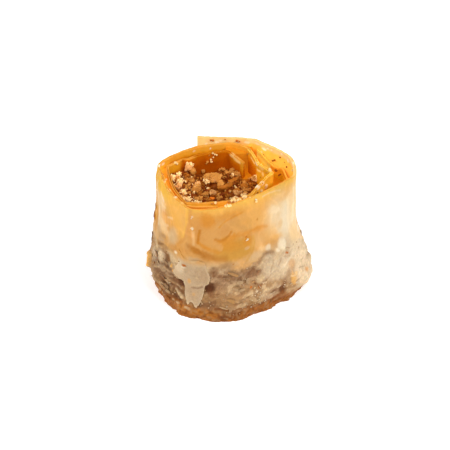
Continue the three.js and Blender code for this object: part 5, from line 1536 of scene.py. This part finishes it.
class BAKLAVA_OT_crumbs_and_grains(bpy.types.Operator):
    """Strew the crumbs, specks and grains that cling to the pastry"""

    bl_idname = "baklava.crumbs_and_grains"
    bl_label = "Crumbs and grains"

    def execute(self, context):
        draw = np.random.default_rng(23)
        spots = np.array([c[:3] for c in CLINGING])
        sizes = np.array([c[3] for c in CLINGING])[:, None] * draw.uniform(0.7, 1.25, (len(spots), 3))
        colours = np.array([tone(c[4]) for c in CLINGING])
        more = self.rim_crumbs(draw)
        spots = np.vstack([spots, more[0]])
        sizes, colours = np.vstack([sizes, more[1]]), np.vstack([colours, more[2]])
        crumbs = strewn("clinging_crumbs", spots, sizes, colours, 29)
        finished(softened(crumbs, 35), pecan(), PASTRY)
        spots = np.array([s[:3] for s in SPECKS])
        sizes = np.array([s[3] for s in SPECKS])[:, None] * draw.uniform(0.75, 1.2, (len(spots), 3))
        colours = np.array([tone("spot" if z > 38 else "toast") for z in spots[:, 2]])
        specks = strewn("brown_specks", spots, sizes, colours, 31)
        finished(softened(specks, 35), pecan(), PASTRY)
        self.grains(context, draw)
        return {"FINISHED"}

    def rim_crumbs(self, draw):
        """Small crumbs strewn along the inner turn's rim."""
        path = Path(INNER_CREASES, rounding=3)
        clean = (path.x < -11) & (path.y > -14)
        chosen = draw.choice(np.flatnonzero(~clean), 42)
        side = draw.normal(-0.1, 0.3, 42)
        height = path.rim[chosen] + draw.uniform(-0.5, 0.0, 42) - 1.6 * np.clip(-side, 0, 1)
        spots = np.stack([path.x[chosen] + path.out_x[chosen] * side, path.y[chosen] + path.out_y[chosen] * side, height], axis=1)
        sizes = draw.uniform(0.13, 0.32, (42, 1)) * draw.uniform(0.7, 1.3, (42, 3))
        colours = np.array([tone(n) for n in draw.choice(["pale", "flesh", "toast"], 42, p=[0.45, 0.4, 0.15])])
        return spots, sizes, colours

    def grains(self, context, draw):
        sizes = context.scene.baklava_sizes
        skin = Skin(outer_path())
        places = []
        for direction, height, along, up, count in GRAIN_CLUSTERS:
            for _ in range(count):
                places.append((direction + draw.normal(0, along) / MM_PER_DEGREE, height + draw.normal(0, up), 0.13 + 0.26 * draw.beta(1.2, 3)))
        for _ in range(sizes.grains):
            places.append((draw.uniform(-180, 180), 2 + 17 * draw.beta(1.3, 1.6), draw.uniform(0.1, 0.26)))
        direction, height, radius = np.array(places).T
        height = np.clip(height, 0.5, 38)
        angle = np.radians(direction)
        push = sizes.turn * 500 + relief(angle, height, sizes.crag * 1000) + 0.12
        spots = skin.at(angle, height, push)
        names = draw.choice(["straw", "beige", "tan", "brown"], len(places), p=[0.4, 0.3, 0.2, 0.1])
        names[: sum(c[4] for c in GRAIN_CLUSTERS)] = "oat"
        names[(names == "oat") & (direction < -75)] = "beige"
        names[height > 22] = "pearl"
        colours = lit(np.array([tone(n) for n in names]), angle, height)
        radii = radius[:, None] * draw.uniform(0.7, 1.3, (len(places), 3))
        grains = strewn("wall_grains", spots, radii, colours, 37)
        finished(softened(grains, 35), pecan(), PASTRY)


class BAKLAVA_OT_stage(bpy.types.Operator):
    """Set up the floor, the soft light and the camera"""

    bl_idname = "baklava.stage"
    bl_label = "Stage"

    def execute(self, context):
        stage = context.scene.baklava_stage
        alone()
        bpy.ops.mesh.primitive_plane_add(size=6, location=(0, 0, -0.00002))
        floor = context.object
        floor.name = "floor"
        material = bpy.data.materials.new("Pale floor")
        material.use_nodes = True
        shader = material.node_tree.nodes["Principled BSDF"]
        shader.inputs["Base Color"].default_value = (*stage.floor, 1)
        shader.inputs["Roughness"].default_value = 0.9
        shader.inputs["Specular IOR Level"].default_value = 0.1
        shader.inputs["Emission Color"].default_value = (1, 1, 1, 1)
        shader.inputs["Emission Strength"].default_value = stage.glow
        floor.data.materials.append(material)
        world = bpy.data.worlds.new("Soft studio")
        world.use_nodes = True
        world.node_tree.nodes["Background"].inputs["Color"].default_value = (1, 1, 1, 1)
        world.node_tree.nodes["Background"].inputs["Strength"].default_value = stage.world
        context.scene.world = world
        self.lamp("key", stage.key, (0.8, -0.93, 1.02), 0.9)
        self.lamp("fill", stage.fill, (-0.8, -0.93, 1.02), 0.9)
        self.lamp("right", stage.sides, (1.3, 0.15, 0.5), 0.8)
        self.lamp("left", stage.sides, (-1.3, 0.15, 0.5), 0.8)
        context.scene.view_settings.view_transform = "Standard"
        self.camera(context, stage)
        return {"FINISHED"}

    def lamp(self, name, power, place, size):
        bpy.ops.object.light_add(type="AREA", location=place)
        light = bpy.context.object
        light.name = name
        light.data.energy, light.data.size = power, size
        way = np.array(place) - np.array([0, 0, 0.02])
        light.rotation_euler = (math.acos(way[2] / np.linalg.norm(way)), 0, math.atan2(way[1], way[0]) + math.pi / 2)

    def camera(self, context, stage):
        """The photograph's view: 30 degrees down, from the front."""
        tilt = math.radians(30)
        middle = (AXIS + np.array([0, 0, 18])) / 1000
        place = middle + stage.distance * np.array([0, -math.cos(tilt), math.sin(tilt)])
        bpy.ops.object.camera_add(location=place, rotation=(math.radians(90) - tilt, 0, 0))
        camera = context.object
        camera.data.lens, camera.data.sensor_width = stage.lens, 36
        camera.data.shift_x, camera.data.shift_y = -4 / 450, 6.2 / 450
        context.scene.camera = camera


class BAKLAVA_PT_panel(bpy.types.Panel):
    """Lists the pieces and their settings"""

    bl_label = "Rolled baklava"
    bl_space_type = "VIEW_3D"
    bl_region_type = "UI"
    bl_category = "Baklava"

    def draw(self, context):
        for step in STEPS:
            self.layout.operator(step.bl_idname)
        for group in SETTINGS:
            box = self.layout.box()
            box.label(text=group.__doc__)
            for name in group.__annotations__:
                box.prop(getattr(context.scene, SETTINGS[group]), name)


SETTINGS = {
    BaklavaSizes: "baklava_sizes",
    BaklavaTints: "baklava_tints",
    BaklavaNuts: "baklava_nuts",
    BaklavaStage: "baklava_stage",
}
STEPS = (
    BAKLAVA_OT_outer_turn,
    BAKLAVA_OT_inner_turn,
    BAKLAVA_OT_loose_leaves,
    BAKLAVA_OT_pressed_turns,
    BAKLAVA_OT_crusts,
    BAKLAVA_OT_scraps,
    BAKLAVA_OT_nut_heap,
    BAKLAVA_OT_nut_pieces,
    BAKLAVA_OT_crumbs_and_grains,
    BAKLAVA_OT_stage,
)


def register():
    for made in (*SETTINGS, *STEPS, BAKLAVA_PT_panel):
        bpy.utils.register_class(made)
    for group, name in SETTINGS.items():
        setattr(bpy.types.Scene, name, bpy.props.PointerProperty(type=group))


def unregister():
    for name in SETTINGS.values():
        delattr(bpy.types.Scene, name)
    for made in (BAKLAVA_PT_panel, *STEPS, *SETTINGS):
        bpy.utils.unregister_class(made)


def main():
    register()
    bpy.ops.baklava.outer_turn()
    bpy.ops.baklava.inner_turn()
    bpy.ops.baklava.loose_leaves()
    bpy.ops.baklava.pressed_turns()
    bpy.ops.baklava.crusts()
    bpy.ops.baklava.scraps()
    bpy.ops.baklava.nut_heap()
    bpy.ops.baklava.nut_pieces()
    bpy.ops.baklava.crumbs_and_grains()
    bpy.ops.baklava.stage()


if __name__ == "__main__":
    main()
